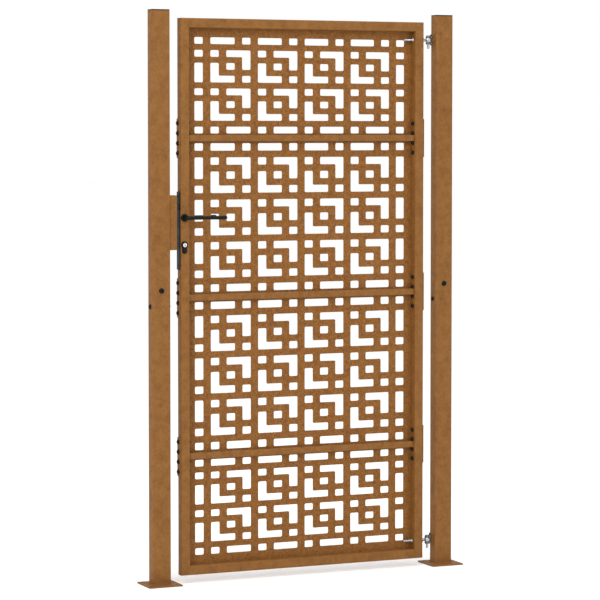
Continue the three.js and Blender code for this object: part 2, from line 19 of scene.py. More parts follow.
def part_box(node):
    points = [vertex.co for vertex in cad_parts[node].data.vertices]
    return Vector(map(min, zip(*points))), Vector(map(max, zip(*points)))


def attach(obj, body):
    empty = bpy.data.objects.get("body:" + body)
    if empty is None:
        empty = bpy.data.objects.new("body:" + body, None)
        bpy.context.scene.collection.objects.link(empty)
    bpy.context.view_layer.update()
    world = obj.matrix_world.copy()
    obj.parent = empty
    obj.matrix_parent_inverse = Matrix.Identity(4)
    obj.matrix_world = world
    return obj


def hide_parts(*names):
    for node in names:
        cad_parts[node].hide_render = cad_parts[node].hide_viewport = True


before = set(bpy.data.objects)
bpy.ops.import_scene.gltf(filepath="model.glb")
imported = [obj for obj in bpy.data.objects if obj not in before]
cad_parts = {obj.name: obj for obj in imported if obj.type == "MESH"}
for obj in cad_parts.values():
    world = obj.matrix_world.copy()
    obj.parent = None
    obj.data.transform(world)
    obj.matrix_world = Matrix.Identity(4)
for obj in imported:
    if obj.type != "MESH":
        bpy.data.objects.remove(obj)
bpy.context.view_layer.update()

log = logging.getLogger("gate")
MM = 0.001
FULL_TURN = 2 * math.pi
QUARTER_TURN = math.pi / 2

# Sizes that several sub-assemblies share, in millimetres.
JOINT_HEIGHTS = (400.0, 900.0, 1400.0)
HINGE_HEIGHTS = {"lower": 82.0, "upper": 1718.0}
TUBE = 30.0
LOCK_SIDE_X = -428.0
HINGE_SIDE_X = 422.0
CLEARANCE = 0.3
SEAM_REACH = 0.2
WELD_REACH = 0.001
CAD_WELD_REACH = 0.02

Outline = list[tuple[float, float]]
Cell = tuple[int, int]
Edges = tuple[float, float, float, float]
Shape = bmesh.types.BMesh
Mesh = bpy.types.Mesh
Piece = bpy.types.Object
Material = bpy.types.Material
Tree = bpy.types.NodeTree
Socket = bpy.types.NodeSocket


class Slot(Enum):
    """The names of the material slots."""

    RUST = "rust_steel"
    BLACK = "black_steel"
    PLASTIC = "black_plastic"
    ZINC = "zinc_steel"
    NICKEL = "nickel"


class Body(Enum):
    """The bodies that pieces ride on."""

    POSTS = "posts"
    LEAF = "leaf"
    HANDLE = "handle"
    LATCH = "latch"
    PLUG = "plug"
    DEADBOLT = "deadbolt"


class Section(Enum):
    """The shape of a turned piece's cross-section."""

    ROUND = "round"
    HEXAGON = "hexagon"


class Way(Enum):
    """The way that a shape's +Z is laid, as the Euler turn that lays it so."""

    UP = (0.0, 0.0, 0.0)
    RIGHT = (0.0, QUARTER_TURN, 0.0)
    LEFT = (0.0, -QUARTER_TURN, 0.0)
    BACK = (-QUARTER_TURN, 0.0, 0.0)
    FRONT = (QUARTER_TURN, 0.0, 0.0)


# ------------------------------------------------------------------ nodes and colours


def linear(hex_colour: str) -> tuple[float, float, float, float]:
    """Turns an sRGB hex colour into a linear RGBA value.

    Args:
        hex_colour: six hex digits, with or without a leading #.

    Returns:
        Linear red, green, blue and an alpha of 1.
    """
    digits = hex_colour.lstrip("#")
    channels = [int(digits[i:i + 2], 16) / 255 for i in (0, 2, 4)]
    red, green, blue = (
        c / 12.92 if c <= 0.04045 else ((c + 0.055) / 1.055) ** 2.4 for c in channels)
    return red, green, blue, 1.0


def add_node(tree: Tree, kind: str, settings: dict | None = None,
             values: dict | None = None, links: dict | None = None) -> bpy.types.Node:
    """Adds one node to a tree, with its settings, input values and links.

    Args:
        tree: the shader or geometry tree.
        kind: the node's type name.
        settings: attributes of the node.
        values: input values by socket name or number.
        links: the output socket, or a list of them, that feeds each input.

    Returns:
        The new node.
    """
    node = tree.nodes.new(kind)
    for name, value in (settings or {}).items():
        setattr(node, name, value)
    for name, value in (values or {}).items():
        node.inputs[name].default_value = value
    for name, sockets in (links or {}).items():
        for socket in sockets if isinstance(sockets, list) else [sockets]:
            tree.links.new(socket, node.inputs[name])
    return node


def grain(size_mm: float) -> float:
    """Gives the scale of a noise texture whose features are about this size."""
    return 1000 / size_mm


# ------------------------------------------------------------------ finishes


@dataclass(frozen=True)
class Finish:
    """A finished material and the name of its material slot."""

    material: Material
    slot: Slot


@dataclass(frozen=True, kw_only=True)
class Surface:
    """What every surface shares. A subclass gives the layers of its own kind."""

    name: str
    slot: Slot
    metallic: float = 0.0
    specular: float = 0.5
    relief: float
    relief_mm: float

    def layers(self, tree: Tree, place: Socket) -> tuple[Socket, Socket, Socket]:
        """Adds the nodes of the surface's own layers.

        Args:
            tree: the material's tree.
            place: the Object coordinates.

        Returns:
            The sockets of the tone, the roughness and the height.
        """
        raise NotImplementedError

    def build(self) -> Finish:
        """Makes the material around the surface's layers.

        Returns:
            The material with its slot.
        """
        material = bpy.data.materials.new(self.name)
        material.use_nodes = True
        tree = material.node_tree
        tree.nodes.clear()
        place = add_node(tree, "ShaderNodeTexCoord").outputs["Object"]
        tone, dullness, height = self.layers(tree, place)
        bump = add_node(tree, "ShaderNodeBump", links={"Height": height}, values={
            "Strength": self.relief, "Distance": self.relief_mm * MM}).outputs["Normal"]
        shader = add_node(
            tree, "ShaderNodeBsdfPrincipled",
            values={"Metallic": self.metallic, "Specular IOR Level": self.specular},
            links={"Base Color": tone, "Roughness": dullness, "Normal": bump})
        add_node(tree, "ShaderNodeOutputMaterial", links={"Surface": shader.outputs["BSDF"]})
        return Finish(material, self.slot)


@dataclass(frozen=True, kw_only=True)
class WeatheringSteel(Surface):
    """Weathering steel, rolled, cut and left to rust until its oxide is dry and closed.

    The oxide is matt and orange-brown. It gives the eye clouds a hand wide, blotches a
    fingertip wide, dark and light specks of a few millimetres and faint upright run marks.
    The grit is drawn at 1.6 mm, about four times its real size, so that it shows.
    """

    slot: Slot = Slot.RUST
    specular: float = 0.18
    relief: float = 0.35
    relief_mm: float = 0.3
    deep: str = "67401A"
    body: str = "795024"
    bright: str = "865B2C"
    speck: str = "4D2B10"
    dust: str = "946129"
    speck_share: float = 0.22
    dust_share: float = 0.2
    cloud_mm: float = 170.0
    blotch_mm: float = 22.0
    speck_mm: float = 4.5
    grit_mm: float = 1.6
    run_width_mm: float = 16.0
    run_length_mm: float = 420.0
    shift: tuple[float, float, float]
    seed: float

    def layers(self, tree: Tree, place: Socket) -> tuple[Socket, Socket, Socket]:
        """Lays runs, specks and dust over blotches of three tones.

        Args:
            tree: the material's tree.
            place: the Object coordinates.

        Returns:
            The sockets of the tone, the roughness and the height.
        """
        shifted = add_node(tree, "ShaderNodeMapping", values={"Location": self.shift},
                           links={"Vector": place}).outputs["Vector"]
        # Rain runs straight down, so the run marks are the same noise stretched upright.
        stretch = self.run_width_mm / self.run_length_mm
        upright = add_node(tree, "ShaderNodeMapping", values={"Scale": (1, 1, stretch)},
                           links={"Vector": shifted}).outputs["Vector"]
        noises = {}
        for layer, vector, size_mm, detail, roughness in (
                ("blotch", shifted, self.blotch_mm, 5, 0.62),
                ("cloud", shifted, self.cloud_mm, 2, 0.5),
                ("run", upright, self.run_width_mm, 3, 0.6),
                ("speck", shifted, self.speck_mm, 3, 0.7),
                ("grit", shifted, self.grit_mm, 2, 0.6)):
            noises[layer] = add_node(
                tree, "ShaderNodeTexNoise", {"noise_dimensions": "4D"},
                {"W": self.seed, "Scale": grain(size_mm), "Detail": detail,
                 "Roughness": roughness}, {"Vector": vector}).outputs["Fac"]
        ramp = add_node(tree, "ShaderNodeValToRGB", links={"Fac": noises["blotch"]})
        stops = ramp.color_ramp.elements
        stops.new(0.75)
        tones = (self.deep, self.body, self.bright)
        for stop, position, colour in zip(stops, (0.25, 0.5, 0.75), tones):
            stop.position = position
            stop.color = linear(colour)
        tone = ramp.outputs["Color"]
        for layer, none, full, share, colour in (
                ("cloud", 0.35, 0.75, 0.3, self.bright),
                ("run", 0.55, 0.8, 0.25, self.deep),
                ("speck", 0.52, 0.66, self.speck_share, self.speck),
                ("speck", 0.48, 0.34, self.dust_share, self.dust)):
            amount = add_node(
                tree, "ShaderNodeMapRange", links={"Value": noises[layer]},
                values={"From Min": none, "From Max": full, "To Max": share})
            tone = add_node(
                tree, "ShaderNodeMix", {"data_type": "RGBA"}, {7: linear(colour)},
                {0: amount.outputs["Result"], 6: tone}).outputs[2]
        dullness = add_node(
            tree, "ShaderNodeMapRange", links={"Value": noises["speck"]},
            values={"From Min": 0.3, "From Max": 0.7, "To Min": 0.5, "To Max": 0.75})
        height = add_node(tree, "ShaderNodeMath", {"operation": "ADD"},
                          links={0: noises["grit"], 1: noises["blotch"]})
        return tone, dullness.outputs["Result"], height.outputs["Value"]


@dataclass(frozen=True, kw_only=True)
class PlainSurface(Surface):
    """A coat, plating or moulded skin whose tone and roughness wander only a little.

    A powder coat shows a fine orange peel. Zinc plate shows soft grey patches, and satin
    nickel fine hazy ones.
    """

    low: str
    high: str
    roughness: tuple[float, float]
    patch_mm: float
    peel_mm: float
    relief_mm: float = 0.1

    def layers(self, tree: Tree, place: Socket) -> tuple[Socket, Socket, Socket]:
        """Lays soft patches under a fine peel.

        Args:
            tree: the material's tree.
            place: the Object coordinates.

        Returns:
            The sockets of the tone, the roughness and the height.
        """
        patches = add_node(
            tree, "ShaderNodeTexNoise", links={"Vector": place},
            values={"Scale": grain(self.patch_mm), "Detail": 3, "Roughness": 0.6}).outputs["Fac"]
        tone = add_node(
            tree, "ShaderNodeMix", {"data_type": "RGBA"},
            {6: linear(self.low), 7: linear(self.high)}, {0: patches})
        smooth_end, dull_end = self.roughness
        dullness = add_node(
            tree, "ShaderNodeMapRange", links={"Value": patches}, values={
                "From Min": 0.3, "From Max": 0.7, "To Min": smooth_end, "To Max": dull_end})
        peel = add_node(tree, "ShaderNodeTexNoise", links={"Vector": place},
                        values={"Scale": grain(self.peel_mm), "Detail": 1})
        return tone.outputs[2], dullness.outputs["Result"], peel.outputs["Fac"]


@dataclass(frozen=True)
class Palette:
    """The finishes that the sub-assemblies share."""

    post: Finish
    tube: Finish
    sheet: Finish
    black: Finish
    plastic: Finish
    steel: Finish
    dull_zinc: Finish
    zinc: Finish
    nickel: Finish

    @classmethod
    def build(cls) -> "Palette":
        """Makes every finish once.

        Returns:
            The palette.
        """
        return cls(
            post=WeatheringSteel(
                name="weathering_steel_post_tube", shift=(0, 0, 0), seed=1).build(),
            tube=WeatheringSteel(
                name="weathering_steel_frame_tube", shift=(0.7, 0.2, 0.4), seed=2).build(),
            sheet=WeatheringSteel(
                name="weathering_steel_cut_sheet", body="764C1E", dust="9C6028",
                speck_share=0.7, dust_share=0.7, blotch_mm=14, shift=(0.1, 0.9, 0.3),
                seed=3).build(),
            black=PlainSurface(
                name="satin_black_powder_coat_on_steel", slot=Slot.BLACK, low="08090A",
                high="121415", specular=0.14, roughness=(0.36, 0.5), patch_mm=30, peel_mm=1.2,
                relief=0.25).build(),
            plastic=PlainSurface(
                name="black_moulded_polyethylene", slot=Slot.PLASTIC, low="17120E",
                high="241D17", specular=0.06, roughness=(0.6, 0.8), patch_mm=20, peel_mm=0.9,
                relief=0.2).build(),
            steel=PlainSurface(
                name="blackened_bare_steel", slot=Slot.BLACK, low="303234", high="424547",
                specular=0.3, roughness=(0.35, 0.5), patch_mm=8, peel_mm=0.8,
                relief=0.1).build(),
            dull_zinc=PlainSurface(
                name="weathered_zinc_plated_steel", slot=Slot.ZINC, low="45423E",
                high="8E8A84", metallic=1, roughness=(0.3, 0.5), patch_mm=5, peel_mm=1,
                relief=0.15).build(),
            zinc=PlainSurface(
                name="bright_zinc_plated_steel", slot=Slot.ZINC, low="6E7173", high="DCDFE0",
                metallic=1, roughness=(0.16, 0.38), patch_mm=4, peel_mm=1, relief=0.12).build(),
            nickel=PlainSurface(
                name="satin_nickel_plated_brass", slot=Slot.NICKEL, low="D6D3CB",
                high="ECEAE4", metallic=1, roughness=(0.16, 0.26), patch_mm=8, peel_mm=0.8,
                relief=0.05).build())


# ------------------------------------------------------------------ meshes


def link_mesh(name: str, mesh: Mesh) -> Piece:
    """Puts a mesh into the scene as an object at the origin.

    Args:
        name: the object's name.
        mesh: its mesh, with its place in it.

    Returns:
        The object.
    """
    piece = bpy.data.objects.new(name, mesh)
    bpy.context.scene.collection.objects.link(piece)
    return piece


def smooth(mesh: Mesh, angle: float = 40.0) -> None:
    """Shades a mesh smooth, but for edges sharper than this many degrees."""
    mesh.shade_smooth()
    mesh.set_sharp_from_angle(angle=math.radians(angle))


def to_mesh(name: str, *shapes: Shape) -> Mesh:
    """Puts closed shapes into one mesh, with their seams shut and their faces outwards.

    Args:
        name: the mesh's name.
        shapes: the shapes, which are freed.

    Returns:
        The smooth-shaded mesh.
    """
    whole = bmesh.new()
    for shape in shapes:
        bmesh.ops.remove_doubles(shape, verts=shape.verts, dist=WELD_REACH * MM)
        bmesh.ops.recalc_face_normals(shape, faces=shape.faces)
        part = bpy.data.meshes.new(name)
        shape.to_mesh(part)
        shape.free()
        whole.from_mesh(part)
        bpy.data.meshes.remove(part)
    mesh = bpy.data.meshes.new(name)
    whole.to_mesh(mesh)
    whole.free()
    smooth(mesh)
    return mesh


def ring_radius(section: Section, radius: float, angle: float) -> float:
    """Gives how far a section reaches at an angle.

    Args:
        section: the section's shape.
        radius: a circle's radius, or half a hexagon's width across flats.
        angle: the angle in radians.

    Returns:
        The distance from the axis, in the radius's unit.
    """
    if section is Section.ROUND:
        return radius
    sixth = FULL_TURN / 6
    return radius / math.cos((angle + sixth / 2) % sixth - sixth / 2)


def loft(rings: Sequence[Sequence[Vector]], closed: bool = False) -> Shape:
    """Joins rings of points, one face between each two neighbours.

    Args:
        rings: rings with the same number of points each.
        closed: whether the last ring joins the first. If not, both ends are capped.

    Returns:
        The closed shape.
    """
    shape = bmesh.new()
    loops = [[shape.verts.new(point) for point in ring] for ring in rings]
    count = len(loops[0])
    pairs = list(zip(loops, loops[1:]))
    if closed:
        pairs.append((loops[-1], loops[0]))
    for low, high in pairs:
        for i in range(count):
            j = (i + 1) % count
            shape.faces.new((low[i], low[j], high[j], high[i]))
    if not closed:
        shape.faces.new(loops[0])
        shape.faces.new(loops[-1])
    return shape


def turned(profile: Sequence[tuple], sides: int = 24, bored: bool = False) -> Shape:
    """Turns a profile round +Z, with round or hexagonal sections.

    Args:
        profile: each ring's height and radius in millimetres, and its section if not round.
        sides: points in each ring, a multiple of 6 where a section is a hexagon.
        bored: whether the profile is a closed loop round a bore.

    Returns:
        The closed shape, in metres.
    """
    rings = []
    for height, radius, *kind in profile:
        section = kind[0] if kind else Section.ROUND
        ring = []
        for i in range(sides):
            angle = FULL_TURN * i / sides
            reach = ring_radius(section, max(radius, 0.001), angle) * MM
            ring.append(Vector((reach * math.cos(angle), reach * math.sin(angle), height * MM)))
        rings.append(ring)
    return loft(rings, closed=bored)


def placed(shape: Shape, matrix: Matrix) -> Shape:
    """Moves a bmesh by a matrix and gives it back."""
    bmesh.ops.transform(shape, matrix=matrix, verts=shape.verts)
    return shape


def along(way: Way, x: float, y: float, z: float) -> Matrix:
    """Gives the matrix that lays a shape's +Z one way, at a point in millimetres."""
    return Matrix.Translation(Vector((x, y, z)) * MM) @ Euler(way.value).to_matrix().to_4x4()


def arc(cx: float, cy: float, radius: float, start: float, end: float, steps: int) -> Outline:
    """Gives the points of an arc, both ends included, with angles in degrees."""
    angles = [math.radians(start + (end - start) * i / steps) for i in range(steps + 1)]
    return [(cx + radius * math.cos(a), cy + radius * math.sin(a)) for a in angles]


def circle(radius: float, cx: float = 0.0, cy: float = 0.0, sides: int = 32) -> Outline:
    """Gives the outline of a circle."""
    return arc(cx, cy, radius, 0, 360, sides)[:-1]


def rounded(width: float, height: float, corner: float, cx: float = 0.0,
            cy: float = 0.0) -> Outline:
    """Gives the outline of a rectangle with round corners.

    Args:
        width: the whole width.
        height: the whole height.
        corner: the corners' radius.
        cx: X of the middle.
        cy: Y of the middle.

    Returns:
        The outline.
    """
    x, y = width / 2 - corner, height / 2 - corner
    corners = ((x, y, 0), (-x, y, 90), (-x, -y, 180), (x, -y, 270))
    points: Outline = []
    for px, py, start in corners:
        points += arc(cx + px, cy + py, corner, start, start + 90, 5)
    return points


def keyhole(radius: float, half: float, tail: float) -> Outline:
    """Gives the outline of a profile cylinder, round part on the origin and tail down.

    Args:
        radius: the round part's radius.
        half: half the tail's width, and the radius of its end.
        tail: the distance from the origin to the tail's end.

    Returns:
        The outline.
    """
    meet = math.degrees(math.asin(half / radius))
    return (arc(0, 0, radius, meet - 90, 270 - meet, 28)
            + arc(0, half - tail, half, 180, 360, 10))


def plate(outlines: Sequence[Outline], thickness: float, bevel: float = 0.3) -> Shape:
    """Makes a flat plate with softened edges, centred on z = 0.

    Args:
        outlines: the outer outline and then each hole, in millimetres.
        thickness: the plate's thickness in millimetres.
        bevel: the width of the edge break in millimetres.

    Returns:
        The closed shape, in metres.
    """
    curve = bpy.data.curves.new("outline", "CURVE")
    curve.dimensions = "2D"
    curve.fill_mode = "BOTH"
    curve.extrude = (thickness / 2 - bevel) * MM
    curve.bevel_depth = bevel * MM
    curve.bevel_resolution = 1
    curve.offset = -bevel * MM
    for outline in outlines:
        spline = curve.splines.new("POLY")
        spline.points.add(len(outline) - 1)
        for point, (x, y) in zip(spline.points, outline):
            point.co = (x * MM, y * MM, 0, 1)
        spline.use_cyclic_u = True
    holder = bpy.data.objects.new("outline", curve)
    bpy.context.scene.collection.objects.link(holder)
    mesh = bpy.data.meshes.new_from_object(
        holder.evaluated_get(bpy.context.evaluated_depsgraph_get()))
    shape = bmesh.new()
    shape.from_mesh(mesh)
    bpy.data.objects.remove(holder)
    bpy.data.curves.remove(curve)
    bpy.data.meshes.remove(mesh)
    return shape


def block(low: Vector, high: Vector, bevel: float) -> Shape:
    """Makes a box with softened edges.

    Args:
        low: the corner with the least X, Y and Z, in millimetres.
        high: the opposite corner.
        bevel: the width of the edge break in millimetres.

    Returns:
        The closed shape, in metres.
    """
    shape = bmesh.new()
    size = (high - low) * MM
    middle = (high + low) / 2 * MM
    bmesh.ops.create_cube(
        shape, size=1.0, matrix=Matrix.Translation(middle) @ Matrix.Diagonal((*size, 1)))
    bmesh.ops.bevel(shape, geom=shape.edges[:], offset=bevel * MM, segments=2,
                    profile=0.5, affect="EDGES")
    return shape


# ------------------------------------------------------------------ pieces and the frame


def dress(piece: Piece, material: Material) -> None:
    """Gives a piece one material.

    Args:
        piece: the piece.
        material: its material.
    """
    piece.data.materials.clear()
    piece.data.materials.append(material)
    for polygon in piece.data.polygons:
        polygon.material_index = 0


def enter(piece: Piece, finish: Finish, body: Body, *nodes: str) -> None:
    """Puts a finished piece on its body and hides the CAD nodes that it stands for.

    Args:
        piece: the piece, in place.
        finish: its finish; not used.
        body: the body that it rides on.
        nodes: the CAD nodes that it stands for.
    """
    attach(piece, body.value)
    if nodes:
        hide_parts(*nodes)
    log.info("%s rides on %s and stands for %s", piece.name, body.value, ", ".join(nodes))


def show(name: str, mesh: Mesh, finish: Finish, body: Body, *nodes: str) -> None:
    """Links a mesh as a piece, dresses it, puts it on its body and hides the CAD nodes that it
    stands for.

    Args:
        name: the piece's name.
        mesh: its mesh, in place.
        finish: its finish.
        body: the body that it rides on.
        nodes: the CAD nodes that it stands for.
    """
    piece = link_mesh(name, mesh)
    dress(piece, finish.material)
    enter(piece, finish, body, *nodes)


def soften(piece: Piece, width_mm: float, angle: float) -> None:
    """Breaks a piece's sharp edges and evens its shading.

    Args:
        piece: the piece.
        width_mm: the width of the edge break in millimetres.
        angle: the least angle in degrees of an edge that is broken.
    """
    bevel = piece.modifiers.new("edge_break", "BEVEL")
    bevel.width = width_mm * MM
    bevel.segments = 2
    bevel.limit_method = "ANGLE"
    bevel.angle_limit = math.radians(angle)
    bevel.use_clamp_overlap = True
    even = piece.modifiers.new("even_shading", "WEIGHTED_NORMAL")
    even.keep_sharp = True


def refine(node: str, finish: Finish, body: Body, width_mm: float = 0.4,
           angle: float = 60.0, seams: Sequence[float] = ()) -> None:
    """Makes a smooth-shaded copy of a CAD node with softened edges, and shows it instead.

    Args:
        node: the CAD node.
        finish: the finish.
        body: the body that it rides on.
        width_mm: the width of the edge break in millimetres.
        angle: the least angle in degrees of an edge that is broken.
        seams: heights in millimetres where two tubes meet, and their ends close up.
    """
    shape = bmesh.new()
    shape.from_mesh(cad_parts[node].data)
    bmesh.ops.remove_doubles(shape, verts=shape.verts, dist=CAD_WELD_REACH * MM)
    bmesh.ops.dissolve_limit(shape, angle_limit=math.radians(0.5), verts=shape.verts,
                             edges=shape.edges)
    for vertex in shape.verts:
        for seam in seams:
            if abs(vertex.co.z - seam * MM) < SEAM_REACH * MM:
                vertex.co.z = seam * MM
    mesh = bpy.data.meshes.new(f"{node}_skin")
    shape.to_mesh(mesh)
    shape.free()
    smooth(mesh, 50.0)
    piece = link_mesh(f"{node}_finished", mesh)
    dress(piece, finish.material)
    soften(piece, width_mm, angle)
    enter(piece, finish, body, node)


# ------------------------------------------------------------------ geometry nodes


@dataclass
class NodeRecipe:
    """A geometry node tree with named inputs, run on a mesh and turned into a plain mesh."""

    name: str
    tree: Tree
    sockets: dict[str, str]

    @classmethod
    def start(cls, name: str, inputs: dict[str, str]) -> "NodeRecipe":
        """Opens an empty tree.

        Args:
            name: the tree's name.
            inputs: the kind of each input after the geometry, by its name.

        Returns:
            The recipe, with its group input and output sockets.
        """
        tree = bpy.data.node_groups.new(name, "GeometryNodeTree")
        for way in ("INPUT", "OUTPUT"):
            tree.interface.new_socket(
                "Geometry", in_out=way, socket_type="NodeSocketGeometry")
        sockets = {}
        for label, kind in inputs.items():
            sockets[label] = tree.interface.new_socket(
                label, in_out="INPUT", socket_type=f"NodeSocket{kind}").identifier
        return cls(name, tree, sockets)

    def finish(self, geometry: Socket, material: Socket) -> None:
        """Ends the tree: instances are made real and the material is set.

        Args:
            geometry: the socket of the finished geometry.
            material: the socket of the material.
        """
        real = add_node(self.tree, "GeometryNodeRealizeInstances", links={"Geometry": geometry})
        painted = add_node(self.tree, "GeometryNodeSetMaterial",
                           links={"Geometry": real.outputs[0], "Material": material})
        add_node(self.tree, "NodeGroupOutput", links={0: painted.outputs[0]})

    def run(self, name: str, mesh: Mesh, values: dict[str, object]) -> Piece:
        """Runs the tree on a mesh and gives the result as a plain piece.

        Args:
            name: the new piece's name.
            mesh: the mesh that the tree starts from.
            values: each input's value, by name.

        Returns:
            A piece at the origin with no modifier.
        """
        holder = link_mesh(f"{name}_source", mesh)
        modifier = holder.modifiers.new(self.name, "NODES")
        modifier.node_group = self.tree
        for label, value in values.items():
            modifier[self.sockets[label]] = value
        holder.update_tag()
        bpy.context.view_layer.update()
        graph = bpy.context.evaluated_depsgraph_get()
        result = bpy.data.meshes.new_from_object(holder.evaluated_get(graph))
        result.name = name
        holder.modifiers.remove(modifier)
        bpy.data.objects.remove(holder)
        bpy.data.meshes.remove(mesh)
        return link_mesh(name, result)


def bolt_row_recipe() -> NodeRecipe:
    """Builds the tree that sets a row of bolts, each turned by its own random angle.

    Returns:
        The recipe, which takes one bolt lying along X as its geometry.
    """
    recipe = NodeRecipe.start("bolt_row", {
        "Count": "Int", "First": "Vector", "Step": "Vector", "Seed": "Int",
        "Material": "Material"})
    tree = recipe.tree
    given = add_node(tree, "NodeGroupInput").outputs
    line = add_node(tree, "GeometryNodeMeshLine", {"mode": "OFFSET"}, links={
        "Count": given["Count"], "Start Location": given["First"], "Offset": given["Step"]})
    turn = add_node(tree, "FunctionNodeRandomValue", {"data_type": "FLOAT"}, {3: FULL_TURN},
                    {"Seed": given["Seed"]})
    angles = add_node(tree, "ShaderNodeCombineXYZ", links={"X": turn.outputs[1]})
    turns = add_node(tree, "FunctionNodeEulerToRotation", links={0: angles.outputs[0]})
    bolts = add_node(tree, "GeometryNodeInstanceOnPoints", links={
        "Points": line.outputs[0], "Instance": given["Geometry"], "Rotation": turns.outputs[0]})
    recipe.finish(bolts.outputs[0], given["Material"])
    return recipe


def sheet_recipe() -> NodeRecipe:
    """Builds the tree that cuts a pierced sheet.

    The geometry is the outlines of one repeat of the pattern and of one edge column, as
    loose edges in the XY plane. The tree repeats them, rounds their corners, fills the
    sheet around them and gives it a thickness.

    Returns:
        The recipe.
    """
    recipe = NodeRecipe.start("pierced_sheet", {
        "Repeats": "Int", "Repeat pitch": "Float", "Edge pitch": "Float", "Width": "Float",
        "Height": "Float", "Corner radius": "Float", "Thickness": "Float",
        "Place": "Vector", "Material": "Material"})
    tree = recipe.tree
    given = add_node(tree, "NodeGroupInput").outputs
    mark = add_node(tree, "GeometryNodeInputNamedAttribute", {"data_type": "BOOLEAN"},
                    {"Name": "edge_column"})
    parts = add_node(tree, "GeometryNodeSeparateGeometry", {"domain": "POINT"},
                     links={"Geometry": given["Geometry"], "Selection": mark.outputs[0]})
    repeated = []
    for source, count, pitch in (
            (parts.outputs[1], {"Count": given["Repeats"]}, given["Repeat pitch"]),
            (parts.outputs[0], {}, given["Edge pitch"])):
        step = add_node(tree, "ShaderNodeCombineXYZ", links={"X": pitch})
        line = add_node(tree, "GeometryNodeMeshLine", {"mode": "OFFSET"}, {"Count": 2},
                        {"Offset": step.outputs[0], **count})
        repeated.append(add_node(tree, "GeometryNodeInstanceOnPoints", links={
            "Points": line.outputs[0], "Instance": source}).outputs[0])
    both = add_node(tree, "GeometryNodeJoinGeometry", links={0: repeated})
    real = add_node(tree, "GeometryNodeRealizeInstances", links={"Geometry": both.outputs[0]})
    cuts = add_node(tree, "GeometryNodeMeshToCurve", links={"Mesh": real.outputs[0]})
    cornered = add_node(tree, "GeometryNodeFilletCurve", {"mode": "POLY"},
                        {"Count": 4, "Limit Radius": True},
                        {"Curve": cuts.outputs[0], "Radius": given["Corner radius"]})
    blank = add_node(tree, "GeometryNodeCurvePrimitiveQuadrilateral",
                     links={"Width": given["Width"], "Height": given["Height"]})
    outline = add_node(tree, "GeometryNodeJoinGeometry",
                       links={0: [cornered.outputs[0], blank.outputs[0]]})
    face = add_node(tree, "GeometryNodeFillCurve", {"mode": "TRIANGLES"},
                    links={"Curve": outline.outputs[0]})
    walls = add_node(tree, "GeometryNodeExtrudeMesh", {"mode": "FACES"},
                     {"Individual": False},
                     {"Mesh": face.outputs[0], "Offset Scale": given["Thickness"]})
    back = add_node(tree, "GeometryNodeFlipFaces", links={"Mesh": face.outputs[0]})
    shell = add_node(tree, "GeometryNodeJoinGeometry",
                     links={0: [walls.outputs[0], back.outputs[0]]})
    sealed = add_node(tree, "GeometryNodeMergeByDistance", values={"Distance": 0.005 * MM},
                      links={"Geometry": shell.outputs[0]})
    upright = add_node(tree, "GeometryNodeTransform",
                       values={"Rotation": Euler((QUARTER_TURN, 0, 0))},
                       links={"Geometry": sealed.outputs[0], "Translation": given["Place"]})
    recipe.finish(upright.outputs[0], given["Material"])
    return recipe


def weld_recipe() -> NodeRecipe:
    """Builds the tree that lays a weld bead along a path, one ripple after another.

    Returns:
        The recipe, which takes the path as loose edges.
    """
    recipe = NodeRecipe.start("weld_bead", {
        "Ripple pitch": "Float", "Bead radius": "Float", "Seed": "Int",
        "Material": "Material"})
    tree = recipe.tree
    given = add_node(tree, "NodeGroupInput").outputs
    path = add_node(tree, "GeometryNodeMeshToCurve", links={"Mesh": given["Geometry"]})
    steps = add_node(tree, "GeometryNodeCurveToPoints", {"mode": "LENGTH"},
                     links={"Curve": path.outputs[0], "Length": given["Ripple pitch"]})
    ripple = add_node(tree, "GeometryNodeMeshIcoSphere", values={"Subdivisions": 2},
                      links={"Radius": given["Bead radius"]})
    uneven = add_node(tree, "FunctionNodeRandomValue", {"data_type": "FLOAT"},
                      {2: 0.85, 3: 1.1}, {"Seed": given["Seed"]})
    beads = add_node(tree, "GeometryNodeInstanceOnPoints", links={
        "Points": steps.outputs["Points"], "Instance": ripple.outputs["Mesh"],
        "Scale": uneven.outputs[1]})
    recipe.finish(beads.outputs[0], given["Material"])
    return recipe


def wire_mesh(name: str, outlines: Sequence[Outline], z: float = 0.0) -> Mesh:
    """Makes a mesh of closed loops of loose edges.

    Args:
        name: the mesh's name.
        outlines: the loops in millimetres.
        z: their height in millimetres.

    Returns:
        The mesh.
    """
    points: list[tuple[float, float, float]] = []
    edges: list[tuple[int, int]] = []
    for outline in outlines:
        first = len(points)
        count = len(outline)
        points += [(x * MM, y * MM, z * MM) for x, y in outline]
        edges += [(first + i, first + (i + 1) % count) for i in range(count)]
    mesh = bpy.data.meshes.new(name)
    mesh.from_pydata(points, edges, [])
    return mesh


# ------------------------------------------------------------------ bolts


